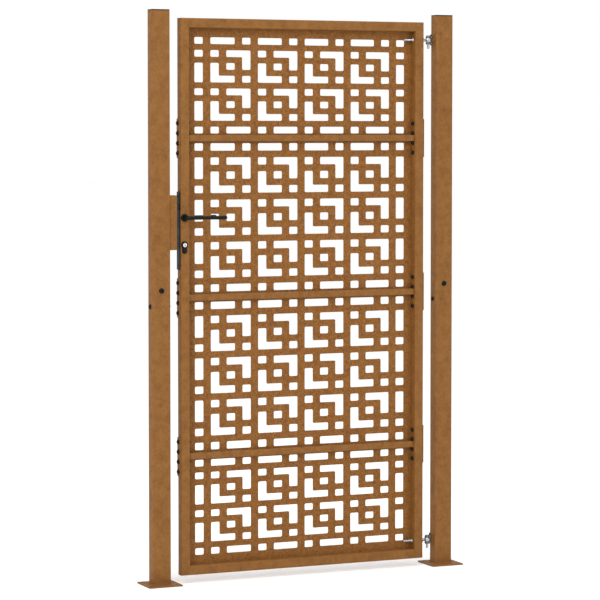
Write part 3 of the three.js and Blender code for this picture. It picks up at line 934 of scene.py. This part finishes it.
@dataclass(frozen=True)
class BoltSize:
    """A button-head bolt with a hexagon socket, and its nut if it has one, in millimetres."""

    shank: float
    head: float
    head_height: float
    nut_flats: float = 0.0
    nut_height: float = 0.0
    end: float = 0.0
    socket_flats: float = 4.0
    socket_depth: float = 2.6
    chamfer: float = 0.35
    dome: tuple[tuple[float, float], ...] = (
        (0.94, 0.55), (0.78, 0.74), (0.5, 0.9), (0.2, 0.98), (0.05, 1.0), (0.0, 0.98))

    def shape(self, grip: float) -> Shape:
        """Turns the bolt along +Z with its head's seat at z = 0.

        Args:
            grip: the distance from the head's seat to the nut in millimetres.

        Returns:
            The closed shape.
        """
        h, flats, hexagon = self.head_height, self.socket_flats / 2, Section.HEXAGON
        profile = [
            (self.socket_depth - h, 0), (self.socket_depth - h, flats, hexagon),
            (self.chamfer - h, flats, hexagon), (-h, flats + self.chamfer, hexagon),
            (-h, 0.42 * self.head * 0.9)]
        profile += [(-up * h, out * self.head) for up, out in self.dome]
        profile += [(0, self.shank), (grip, self.shank)]
        if not self.nut_flats:
            return turned([*profile, (grip, 0)])
        nut, tall = self.nut_flats / 2, self.nut_height
        top, tip = grip + tall, grip + tall + self.end
        return turned(profile + [
            (grip, nut * 0.95), (grip + 0.12 * tall, nut, hexagon),
            (grip + 0.86 * tall, nut, hexagon), (top, nut * 0.94), (top, self.shank),
            (tip - 0.6, self.shank), (tip, self.shank - 0.6), (tip, 0)])


# ------------------------------------------------------------------ sub-assemblies


@dataclass
class Post:
    """A post: two sections, a sleeve, a cap and two bolts. Sizes in millimetres."""

    palette: Palette
    welds: NodeRecipe
    side: str
    outward: int
    seed: int
    reach_x: float = 495.0
    width: float = 60.0
    depth: float = 40.0
    base_thickness: float = 4.0
    joint_z: float = 900.0
    bolt_offset: float = 25.0
    corner: float = 3.4
    bead_radius: float = 2.1
    bead_reach: float = 0.4
    ripple_pitch: float = 1.9
    bolt: BoltSize = BoltSize(
        shank=4.0, head=8.5, head_height=5.0, nut_flats=13.0, nut_height=4.4, end=1.4,
        socket_flats=5.0, socket_depth=2.8)

    @property
    def x(self) -> float:
        """Gives the X of the post's middle."""
        return self.outward * self.reach_x

    def build(self) -> None:
        """Builds the post."""
        self.tubes()
        self.bolts()
        self.foot_weld()

    def tubes(self) -> None:
        """Dresses the two sections, the sleeve and the cap of one post."""
        for part in ("lower", "upper", "sleeve"):
            refine(f"{self.side}_post_{part}", self.palette.post, Body.POSTS, width_mm=0.5,
                   seams=(self.joint_z,))
        refine(f"{self.side}_post_cap", self.palette.plastic, Body.POSTS, width_mm=0.7)

    def bolts(self) -> None:
        """Makes the front-to-back bolt and the side-to-side bolt of one post."""
        gap = CLEARANCE
        inward = Way.LEFT if self.outward > 0 else Way.RIGHT
        across = placed(self.bolt.shape(self.width + 2 * gap), along(
            inward, self.x + self.outward * (self.width / 2 + gap), 0,
            self.joint_z - self.bolt_offset))
        through = placed(self.bolt.shape(self.depth + 2 * gap), along(
            Way.BACK, self.x, -self.depth / 2 - gap, self.joint_z + self.bolt_offset))
        for part, shape in (("side", across), ("front", through)):
            node = f"{self.side}_post_{part}_bolt"
            show(f"{node}_button_head", to_mesh(node, shape), self.palette.black, Body.POSTS,
                 node)

    def foot_weld(self) -> None:
        """Lays the weld bead where the tube stands on the base plate."""
        reach = 2 * self.bead_reach
        path = rounded(self.width + reach, self.depth + reach, self.corner, self.x)
        mesh = wire_mesh(f"{self.side}_foot_path", [path], self.base_thickness + self.bead_reach)
        piece = self.welds.run(f"{self.side}_post_foot_weld", mesh, {
            "Ripple pitch": self.ripple_pitch * MM, "Bead radius": self.bead_radius * MM,
            "Seed": self.seed, "Material": self.palette.post.material})
        smooth(piece.data, 80.0)
        enter(piece, self.palette.post, Body.POSTS)


@dataclass
class LeafFrame:
    """The leaf's tubes: four stile sections a side, two rails and three crossbars."""

    palette: Palette

    def build(self) -> None:
        """Dresses every tube of the leaf."""
        count = len(JOINT_HEIGHTS)
        names = [f"{side}_stile_{i + 1}" for side in ("lock", "hinge") for i in range(count + 1)]
        names += ["bottom_rail", "top_rail", *(f"crossbar_{i + 1}" for i in range(count))]
        for name in names:
            refine(name, self.palette.tube, Body.LEAF, seams=JOINT_HEIGHTS)


@dataclass
class PiercedSheets:
    """The four sheets, whose cut-outs repeat every three columns. Sizes in millimetres."""

    palette: Palette
    recipe: NodeRecipe
    back_y: float = 15.0
    thickness: float = 2.0
    columns: int = 14
    column_pitch: float = 54.25
    hole_width: float = 29.3
    corner_radius: float = 4.2
    short_pitch: float = 40.1
    short_hole: float = 21.2
    long_pitch: float = 44.5
    long_hole: float = 23.4
    end_margin: float = 28.0
    leaf_low: float = 25.0
    leaf_high: float = 1775.0
    tuck: float = 1.0
    repeats: int = 4
    repeat_columns: int = 3

    def build(self) -> None:
        """Cuts the four sheets."""
        for number in (1, 2, 3, 4):
            self.sheet(number)

    def cells(self, groups: int) -> tuple[list[list[Cell]], list[list[Cell]]]:
        """Gives the cut-outs of one repeat and of one edge column as grid cells.

        Args:
            groups: how many three-row groups the sheet is tall.

        Returns:
            The repeat's cut-outs and the edge column's, each a list of (column, row).
        """
        last = 3 * groups + 1
        repeat = [[(0, 0), (1, 0)], [(2, 0)]]
        for row in range(1, last, 3):
            repeat += [
                [(0, row)], [(1, row), (2, row), (2, row + 1)], [(1, row + 1)],
                [(0, row + 1), (0, row + 2), (1, row + 2)], [(2, row + 2)]]
        repeat += [[(0, last)], [(1, last), (2, last)]]
        lone, pairs = ([0, 3, 6, 9, 10], [1, 4, 7]) if groups == 3 else ([0, 1, 4, 7], [2, 5])
        edge = [[(0, row)] for row in lone] + [[(0, row), (0, row + 1)] for row in pairs]
        return repeat, edge

    def outline(self, boxes: list[Edges]) -> Outline:
        """Gives the outline round one to three neighbouring cells.

        Args:
            boxes: each cell's left, low, right and high edges. Of three, the second is the
                corner of an angle.

        Returns:
            The outline's corners.
        """
        left, low = min(b[0] for b in boxes), min(b[1] for b in boxes)
        right, high = max(b[2] for b in boxes), max(b[3] for b in boxes)
        if len(boxes) < 3:
            return [(left, low), (right, low), (right, high), (left, high)]
        first, corner, final = boxes
        if first[1] == corner[1]:
            return [(left, high), (left, first[1]), (final[0], first[1]), (final[0], low),
                    (right, low), (right, high)]
        return [(left, high), (left, low), (right, low), (right, final[3]),
                (first[2], final[3]), (first[2], high)]

    def sheet(self, number: int) -> None:
        """Cuts one sheet.

        Args:
            number: 1 for the lowest sheet to 4 for the highest.
        """
        node = f"sheet_{number}"
        low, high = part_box(node)
        # The edges reach a little way into the tubes, where they are welded.
        low.x -= self.tuck * MM
        high.x += self.tuck * MM
        low.z -= self.tuck * MM if number == 1 else 0
        high.z += self.tuck * MM if number == 4 else 0
        is_short = number in (1, 4)
        groups = 2 if is_short else 3
        pitch = self.short_pitch if is_short else self.long_pitch
        hole = self.short_hole if is_short else self.long_hole
        zone = (3 * groups + 1) * pitch + hole
        top = {
            1: self.leaf_low + TUBE + self.end_margin + zone,
            4: self.leaf_high - TUBE - self.end_margin,
        }.get(number, (low.z + high.z) / 2 / MM + zone / 2)
        middle_z = (low.z + high.z) / 2 / MM

        def edges(column: int, row: int) -> Edges:
            """Gives a cell's edges about the sheet's middle.

            Args:
                column: the cell's column, from the left.
                row: its row, from the top.

            Returns:
                The left, low, right and high edges.
            """
            x = (column - (self.columns - 1) / 2) * self.column_pitch
            z = top - row * pitch - middle_z
            return x - self.hole_width / 2, z - hole, x + self.hole_width / 2, z

        repeat, edge = self.cells(groups)
        inner = [self.outline([edges(column + 1, row) for column, row in cells])
                 for cells in repeat]
        outer = [self.outline([edges(column, row) for column, row in cells]) for cells in edge]
        mesh = wire_mesh(f"{node}_cuts", inner + outer)
        marks = mesh.attributes.new("edge_column", "BOOLEAN", "POINT")
        start = sum(len(outline) for outline in inner)
        for i, mark in enumerate(marks.data):
            mark.value = i >= start
        piece = self.recipe.run(f"{node}_pierced", mesh, {
            "Repeats": self.repeats,
            "Repeat pitch": self.repeat_columns * self.column_pitch * MM,
            "Edge pitch": (self.columns - 1) * self.column_pitch * MM,
            "Width": high.x - low.x, "Height": high.z - low.z,
            "Corner radius": self.corner_radius * MM, "Thickness": self.thickness * MM,
            "Place": ((low.x + high.x) / 2, self.back_y * MM, (low.z + high.z) / 2),
            "Material": self.palette.sheet.material})
        smooth(piece.data, 30.0)
        enter(piece, self.palette.sheet, Body.LEAF, node)


@dataclass
class Splices:
    """The plates over the stile joints and the four bolts of each. Sizes in millimetres.

    Every bolt points to +X. In the lock stile the heads are outside and have nuts. In the
    hinge stile the heads are inside, and the bolts are screwed into the bar in the tube.
    """

    palette: Palette
    rows: NodeRecipe
    pitch: float = 31.5
    bolts_each: int = 4
    plate: float = 3.0
    bar_thickness: float = 4.0
    bar_width: float = 24.0
    bar_length: float = 120.0
    wall: float = 2.0
    nutted: BoltSize = BoltSize(
        shank=3.0, head=8.0, head_height=5.4, nut_flats=10.0, nut_height=4.6, end=1.4)
    tapped: BoltSize = BoltSize(shank=3.0, head=7.0, head_height=7.0)

    def build(self) -> None:
        """Builds the splices of both stiles."""
        gap = CLEARANCE
        grip = TUBE + self.plate
        for number, z in enumerate(JOINT_HEIGHTS, 1):
            for side in ("lock", "hinge"):
                refine(f"{side}_splice_plate_{number}", self.palette.tube, Body.LEAF,
                       width_mm=0.5)
            self.bolts(f"lock_splice_bolts_{number}", self.nutted.shape(grip + 3 * gap),
                       LOCK_SIDE_X - self.plate - 2 * gap, z, number)
            self.bolts(f"hinge_splice_bolts_{number}", self.tapped.shape(grip + 2 * gap),
                       HINGE_SIDE_X - TUBE - gap, z, number + 10)
            self.bar(f"lock_splice_bar_{number}", LOCK_SIDE_X + self.wall + gap, z)
            self.bar(f"hinge_splice_bar_{number}",
                     HINGE_SIDE_X - self.wall - gap - self.bar_thickness, z)

    def bar(self, name: str, x: float, z: float) -> None:
        """Makes the flat bar in the tube that a splice's bolts run through.

        Args:
            name: the piece's name.
            x: X of the bar's left face.
            z: the joint's height.
        """
        reach, half = self.bar_width / 2, self.bar_length / 2
        shape = block(Vector((x, -reach, z - half)),
                      Vector((x + self.bar_thickness, reach, z + half)), 0.4)
        show(name, to_mesh(name, shape), self.palette.black, Body.LEAF)

    def bolts(self, node: str, shape: Shape, seat: float, z: float,
              seed: int) -> None:
        """Sets the four bolts of one splice.

        Args:
            node: the CAD node of the bolts.
            shape: one bolt along +Z.
            seat: X of the seats of the heads.
            z: the joint's height.
            seed: the seed of the random turns.
        """
        mesh = to_mesh("bolt", placed(shape, along(Way.RIGHT, 0, 0, 0)))
        piece = self.rows.run(f"{node}_row", mesh, {
            "Count": self.bolts_each,
            "First": (seat * MM, 0, (z - (self.bolts_each - 1) / 2 * self.pitch) * MM),
            "Step": (0, 0, self.pitch * MM), "Seed": seed,
            "Material": self.palette.black.material})
        smooth(piece.data, 35.0)
        enter(piece, self.palette.black, Body.LEAF, node)


@dataclass
class LeverLock:
    """The lever lock in the left stile and its keeper on the post. Sizes in millimetres."""

    palette: Palette
    x: float = -416.5
    spindle_z: float = 1151.5
    cylinder_z: float = 1066.5
    face_y: float = 15.0
    screw_x: float = -431.0
    screw_z: float = 1111.0
    screw_reach: float = 108.0
    rose_radius: float = 12.0
    rose_thickness: float = 6.0
    lever_y: float = 43.0
    lever_reach: float = 134.0
    bend_radius: float = 9.0
    cylinder_outline: tuple[float, float, float] = (8.5, 5.0, 24.5)
    collar_outline: tuple[float, float, float] = (11.5, 8.0, 27.5)
    collar_opening: tuple[float, float, float] = (8.7, 5.2, 24.7)
    neck: tuple[tuple[float, float], ...] = ((0.0, 6.2), (0.4, 6.7), (3.0, 6.7), (6.0, 6.3))
    bend_bar_radius: float = 6.1
    bar: tuple[tuple[float, float], ...] = (
        (20.0, 5.8), (45.0, 5.6), (75.0, 5.6), (100.0, 5.8), (115.0, 6.1), (124.0, 6.3))
    tip_radius: float = 6.3
    cylinder_length: float = 40.0
    plug_radius: float = 6.5
    plug_bore: float = 6.8
    key_face_y: float = 16.8
    key_face_thickness: float = 8.0
    core_reach: float = 12.7
    cam_half_width: float = 3.0
    cam_half_depth: float = 4.7
    cam_height: float = 10.0
    collar_thickness: float = 3.0

    def build(self) -> None:
        """Builds the lock."""
        self.case()
        self.cylinder()
        for side, out in (("front", -1), ("rear", 1)):
            self.rose(side, out)
            self.surround(side, out)
            self.lever(side, out)
        refine("keeper", self.palette.tube, Body.POSTS, width_mm=1.2)
        refine("latch", self.palette.steel, Body.LATCH, width_mm=0.6, angle=30.0)
        refine("deadbolt", self.palette.steel, Body.DEADBOLT, width_mm=0.8, angle=30.0)
        refine("spindle", self.palette.zinc, Body.HANDLE, width_mm=0.3)

    def case(self) -> None:
        """Shows the whole case with its faceplate, and sets the faceplate's two screws."""
        refine("lock_case", self.palette.black, Body.LEAF)
        screws = []
        for dz in (-self.screw_reach, self.screw_reach):
            screw = turned([
                (0, 0), (0, 4.2), (0.5, 4.6), (0.9, 4.2), (1, 2.2), (1, 1.7, Section.HEXAGON),
                (0.2, 1.6, Section.HEXAGON), (0.2, 0)])
            screws.append(placed(screw, along(Way.LEFT, self.screw_x, 0, self.screw_z + dz)))
        show("lock_faceplate_screws", to_mesh("screws", *screws), self.palette.black, Body.LEAF)

    def cylinder(self) -> None:
        """Makes the profile cylinder and the plug that the key turns."""
        body = plate([keyhole(*self.cylinder_outline), circle(self.plug_bore, sides=40)],
                     self.cylinder_length, 0.5)
        stand = along(Way.FRONT, self.x, 0, self.cylinder_z)
        show("lock_cylinder_profile", to_mesh("cylinder", placed(body, stand)),
             self.palette.black, Body.LEAF, "lock_cylinder")
        keyway = [(-0.9, -4.2), (0.9, -4.2), (0.9, -1.8), (1.7, -1.2), (1.7, 0.2), (0.9, 0.8),
                  (0.9, 4.0), (-0.9, 4.0), (-0.9, 2.2), (-0.2, 1.6), (-0.2, -0.4), (-0.9, -1.0)]
        shapes = []
        for out in (-1, 1):
            disc = plate([circle(self.plug_radius, sides=40), keyway],
                         self.key_face_thickness, 0.35)
            shapes.append(placed(disc, along(
                Way.FRONT, self.x, out * self.key_face_y, self.cylinder_z)))
        reach, radius = self.core_reach, self.plug_radius
        core = turned([(-reach, 0), (-reach, radius), (reach, radius), (reach, 0)])
        shapes.append(placed(core, along(Way.BACK, self.x, 0, self.cylinder_z)))
        wide, deep = self.cam_half_width, self.cam_half_depth
        shapes.append(block(
            Vector((self.x - wide, -deep, self.cylinder_z)),
            Vector((self.x + wide, deep, self.cylinder_z + self.cam_height)), 0.5))
        show("cylinder_plug_with_cam", to_mesh("plug", *shapes), self.palette.nickel,
             Body.PLUG, "cylinder_plug")

    def rose(self, side: str, out: int) -> None:
        """Makes one round rose under a lever.

        Args:
            side: the face's name.
            out: -1 on the front and 1 on the rear.
        """
        radius, depth = self.rose_radius, self.rose_thickness
        ring = turned([
            (0.3, 6.5), (0.3, radius), (depth - 1.8, radius), (depth - 0.8, radius - 0.5),
            (depth - 0.2, radius - 1.6), (depth, radius - 3), (depth, 7.6), (depth - 0.6, 7.3),
            (depth - 0.6, 6.5)], 48, bored=True)
        outward = Way.FRONT if out < 0 else Way.BACK
        stand = along(outward, self.x, out * self.face_y, self.spindle_z)
        show(f"{side}_rose_disc", to_mesh("rose", placed(ring, stand)), self.palette.black,
             Body.LEAF, f"{side}_rose")

    def surround(self, side: str, out: int) -> None:
        """Makes one keyhole-shaped surround of the cylinder.

        Args:
            side: the face's name.
            out: -1 on the front and 1 on the rear.
        """
        ring = plate([keyhole(*self.collar_outline), keyhole(*self.collar_opening)],
                     self.collar_thickness, 0.7)
        y = self.face_y + CLEARANCE + self.collar_thickness / 2
        stand = along(Way.FRONT, self.x, out * y, self.cylinder_z)
        show(f"{side}_cylinder_collar", to_mesh("collar", placed(ring, stand)),
             self.palette.black, Body.LEAF, f"{side}_cylinder_surround")

    def lever(self, side: str, out: int) -> None:
        """Sweeps one lever: a neck out of the rose, a bend, and a bar with a fuller end.

        Args:
            side: the face's name.
            out: -1 on the front and 1 on the rear.
        """
        start = self.face_y + self.rose_thickness + 0.5
        bend, reach, tip = self.bend_radius, self.lever_reach, self.tip_radius
        path = [(0.0, start + distance, 0.0, radius) for distance, radius in self.neck]
        steps = 8
        for i in range(steps + 1):
            angle = QUARTER_TURN * i / steps
            path.append((bend * (1 - math.cos(angle)),
                         self.lever_y - bend + bend * math.sin(angle), angle,
                         self.bend_bar_radius))
        path += [(distance, self.lever_y, QUARTER_TURN, radius) for distance, radius in self.bar]
        steps = 5
        for i in range(1, steps + 1):
            angle = QUARTER_TURN * i / steps
            path.append((reach - tip + 6.2 * math.sin(angle), self.lever_y, QUARTER_TURN,
                         max(tip * math.cos(angle), 0.05)))
        rings = []
        for along_x, along_y, heading, radius in path:
            # The ring stands square to the path, which runs in a level plane.
            across = Vector((math.cos(heading), -math.sin(heading), 0))
            ring = []
            for i in range(24):
                angle = FULL_TURN * i / 24
                point = Vector((along_x, along_y, 0)) + radius * (
                    across * math.cos(angle) + Vector((0, 0, 1)) * math.sin(angle))
                ring.append(Vector((self.x + point.x, out * point.y,
                                    self.spindle_z + point.z)) * MM)
            rings.append(ring)
        show(f"{side}_lever_bar", to_mesh("lever", loft(rings)), self.palette.black,
             Body.HANDLE, f"{side}_lever")


@dataclass
class EyeHinge:
    """A hinge: a threaded eye bolt in the stile turns on a pin. Sizes in millimetres."""

    palette: Palette
    rows: NodeRecipe
    name: str
    z: float
    pin_x: float = 445.0
    rod_end: float = 357.0
    rod_radius: float = 4.0
    thread_pitch: float = 1.25
    thread_depth: float = 0.68
    nut_flats: float = 13.0
    nut_height: float = 6.5
    eye_radius: float = 10.5
    eye_height: float = 12.0
    bore: float = 4.3
    knuckle_radius: float = 8.0
    knuckles: tuple[tuple[float, float], ...] = ((6.8, 13.5), (-13.5, -6.8))
    knuckle_chamfer: float = 0.8
    web_x: float = 450.5
    web_half_depth: float = 4.0
    pin_radius: float = 4.0
    pin_low: float = 27.5
    pin_high: float = 13.8
    flange_x: float = 463.2
    flange_middle: tuple[float, float] = (6.5, 1.5)
    flange_size: tuple[float, float] = (37.0, 23.0)
    flange_thickness: float = 3.0
    flange_bolt_y: float = 11.0
    flange_bolt_heights: tuple[float, float] = (-11.0, 14.0)
    flange_bolt: BoltSize = BoltSize(
        shank=3.0, head=4.6, head_height=3.4, nut_flats=8.0, nut_height=2.0, end=1.0,
        socket_flats=2.5, socket_depth=1.6)

    def build(self) -> None:
        """Builds the hinge."""
        self.eye_bolt()
        self.bracket()
        self.flange()
        self.pin()

    def thread(self, length: float) -> Shape:
        """Makes a threaded rod along +Z by winding one ridge round it.

        Args:
            length: the rod's length in millimetres.

        Returns:
            The closed shape.
        """
        sides, per_turn = 24, 6
        rings = []
        count = int(length / self.thread_pitch * per_turn)
        for j in range(count + 1):
            height = length * j / count
            ring = []
            for i in range(sides):
                phase = (height / self.thread_pitch - i / sides) % 1.0
                ridge = abs(2 * phase - 1)
                edge = min(1.0, height / 1.5)
                radius = self.rod_radius - self.thread_depth * (1 - ridge * edge)
                angle = FULL_TURN * i / sides
                ring.append(Vector((radius * math.cos(angle), radius * math.sin(angle),
                                    height)) * MM)
            rings.append(ring)
        return loft(rings)

    def nut(self) -> Shape:
        """Turns one hexagon nut along +Z with chamfered corners.

        Returns:
            The closed shape.
        """
        flats, tall, bore = self.nut_flats / 2, self.nut_height, self.rod_radius
        return turned([
            (0, bore), (0, flats * 0.96), (0.9, flats, Section.HEXAGON),
            (tall - 0.9, flats, Section.HEXAGON), (tall, flats * 0.96), (tall, bore + 0.5),
            (tall - 0.6, bore)], 36, bored=True)

    def eye_bolt(self) -> None:
        """Makes the eye, its threaded rod and the two nuts that clamp the stile."""
        half, ring, bore = self.eye_height / 2, self.eye_radius, self.bore
        eye = turned([
            (-half, bore + 0.6), (-half, ring - 1.6), (1.2 - half, ring - 0.4),
            (2.4 - half, ring), (half - 2.4, ring), (half - 1.2, ring - 0.4),
            (half, ring - 1.6), (half, bore + 0.6), (half - 0.6, bore), (0.6 - half, bore)],
            48, bored=True)
        rod = placed(self.thread(self.pin_x - ring + 1.5 - self.rod_end),
                     along(Way.RIGHT, self.rod_end, 0, self.z))
        seats = (HINGE_SIDE_X - TUBE - CLEARANCE - self.nut_height, HINGE_SIDE_X + CLEARANCE)
        nuts = [placed(self.nut(), along(Way.RIGHT, seat, 0, self.z)) for seat in seats]
        mesh = to_mesh("eye_bolt", placed(eye, along(Way.UP, self.pin_x, 0, self.z)), rod, *nuts)
        show(f"{self.name}_hinge_threaded_eye", mesh, self.palette.zinc, Body.LEAF,
             f"{self.name}_hinge_eye_bolt")

    def bracket(self) -> None:
        """Makes the bracket's two knuckles and the webs that join them to the flange."""
        radius, bore, chamfer = self.knuckle_radius, self.bore, self.knuckle_chamfer
        deep = self.web_half_depth
        shapes = []
        for low, high in self.knuckles:
            knuckle = turned([
                (low, bore + 0.5), (low, radius - chamfer), (low + chamfer, radius),
                (high - chamfer, radius), (high, radius - chamfer), (high, bore + 0.5),
                (high - 0.5, bore), (low + 0.5, bore)], 48, bored=True)
            shapes.append(placed(knuckle, along(Way.UP, self.pin_x, 0, self.z)))
            shapes.append(block(Vector((self.web_x, -deep, self.z + low + 0.1)),
                                Vector((self.flange_x, deep, self.z + high - 0.1)), 0.5))
        show(f"{self.name}_hinge_post_bracket", to_mesh("bracket", *shapes),
             self.palette.dull_zinc, Body.POSTS, f"{self.name}_hinge_bracket")

    def flange(self) -> None:
        """Makes the bracket's flange, rusted like the post, and its two black bolts."""
        y, dz = self.flange_middle
        shape = placed(plate([rounded(*self.flange_size, 2.0)], self.flange_thickness, 0.5),
                       along(Way.LEFT, self.flange_x, y, self.z + dz))
        show(f"{self.name}_hinge_post_flange", to_mesh("flange", shape), self.palette.post,
             Body.POSTS)
        low, high = self.flange_bolt_heights
        bolt = to_mesh("bolt", placed(self.flange_bolt.shape(5.6), along(Way.RIGHT, 0, 0, 0)))
        seat = self.flange_x - self.flange_thickness / 2
        row = self.rows.run(f"{self.name}_hinge_flange_bolts", bolt, {
            "Count": 2, "First": (seat * MM, self.flange_bolt_y * MM, (self.z + low) * MM),
            "Step": (0, 0, (high - low) * MM), "Seed": round(self.z),
            "Material": self.palette.black.material})
        smooth(row.data, 35.0)
        enter(row, self.palette.black, Body.POSTS)

    def pin(self) -> None:
        """Makes the hinge pin with its low head."""
        radius, low, high = self.pin_radius, -self.pin_low, self.pin_high
        pin = turned([
            (low, 0), (low, radius - 0.8), (low + 0.8, radius), (high, radius),
            (high, radius + 1.6), (high + 0.4, radius + 1.8), (high + 1.4, radius + 1.8),
            (high + 2, radius + 0.8), (high + 2, 0)], 36)
        mesh = to_mesh("pin", placed(pin, along(Way.UP, self.pin_x, 0, self.z)))
        show(f"{self.name}_hinge_turned_pin", mesh, self.palette.zinc, Body.POSTS,
             f"{self.name}_hinge_pin")


# ------------------------------------------------------------------ studio


@dataclass
class Studio:
    """The floor, the lights and the camera."""

    camera_place: tuple[float, float, float] = (-3.4221, -7.5558, 1.4190)
    heading: float = 24.285
    pitch: float = 2.775
    lens: float = 155.75
    shift_y: float = -0.07

    def build(self) -> None:
        """Builds the studio."""
        self.floor()
        self.lights()
        self.camera()

    def floor(self) -> None:
        """Lays a plain pale floor."""
        material = bpy.data.materials.new("pale_floor")
        material.use_nodes = True
        shader = material.node_tree.nodes["Principled BSDF"]
        shader.inputs["Base Color"].default_value = linear("FFFFFF")
        shader.inputs["Roughness"].default_value = 0.9
        size, below = 60.0, -0.5 * MM
        mesh = bpy.data.meshes.new("floor")
        mesh.from_pydata([(-size, -size, below), (size, -size, below), (size, size, below),
                          (-size, size, below)], [], [(0, 1, 2, 3)])
        floor = link_mesh("floor", mesh)
        dress(floor, material)

    def lights(self) -> None:
        """Hangs three large soft lights in a white room."""
        world = bpy.data.worlds.new("white_room")
        world.use_nodes = True
        background = world.node_tree.nodes["Background"]
        background.inputs["Color"].default_value = linear("FFFFFF")
        background.inputs["Strength"].default_value = 1.0
        bpy.context.scene.world = world
        bpy.context.scene.view_settings.view_transform = "Standard"
        target = Vector((0, 0, 0.9))
        for name, place, power, size in (
                ("key", Vector((-4.2, -3.6, 3.6)), 130.0, 2.0),
                ("fill", Vector((3.5, -5.0, 2.5)), 30.0, 3.0),
                ("top", Vector((0.0, -0.8, 4.6)), 55.0, 2.5)):
            data = bpy.data.lights.new(name, "AREA")
            data.energy = power
            data.size = size
            lamp = bpy.data.objects.new(name, data)
            lamp.location = place
            lamp.rotation_euler = (target - place).to_track_quat("-Z", "Y").to_euler()
            bpy.context.scene.collection.objects.link(lamp)

    def camera(self) -> None:
        """Sets the camera, turned to the right of +Y and tilted down."""
        data = bpy.data.cameras.new("camera")
        data.lens = self.lens
        data.shift_y = self.shift_y
        data.clip_end = 200
        camera = bpy.data.objects.new("camera", data)
        camera.location = self.camera_place
        camera.rotation_euler = (
            QUARTER_TURN - math.radians(self.pitch), 0, -math.radians(self.heading))
        bpy.context.scene.collection.objects.link(camera)
        bpy.context.scene.camera = camera


def main() -> None:
    """Builds the gate's looks, then the studio."""
    logging.basicConfig(level=logging.INFO, format="%(name)s: %(message)s")
    palette = Palette.build()
    rows = bolt_row_recipe()
    welds = weld_recipe()
    for seed, (side, outward) in enumerate((("lock", -1), ("hinge", 1))):
        Post(palette, welds, side, outward, seed).build()
    LeafFrame(palette).build()
    PiercedSheets(palette, sheet_recipe()).build()
    Splices(palette, rows).build()
    LeverLock(palette).build()
    for name, z in HINGE_HEIGHTS.items():
        EyeHinge(palette, rows, name, z).build()
    Studio().build()


if __name__ == "__main__":
    main()
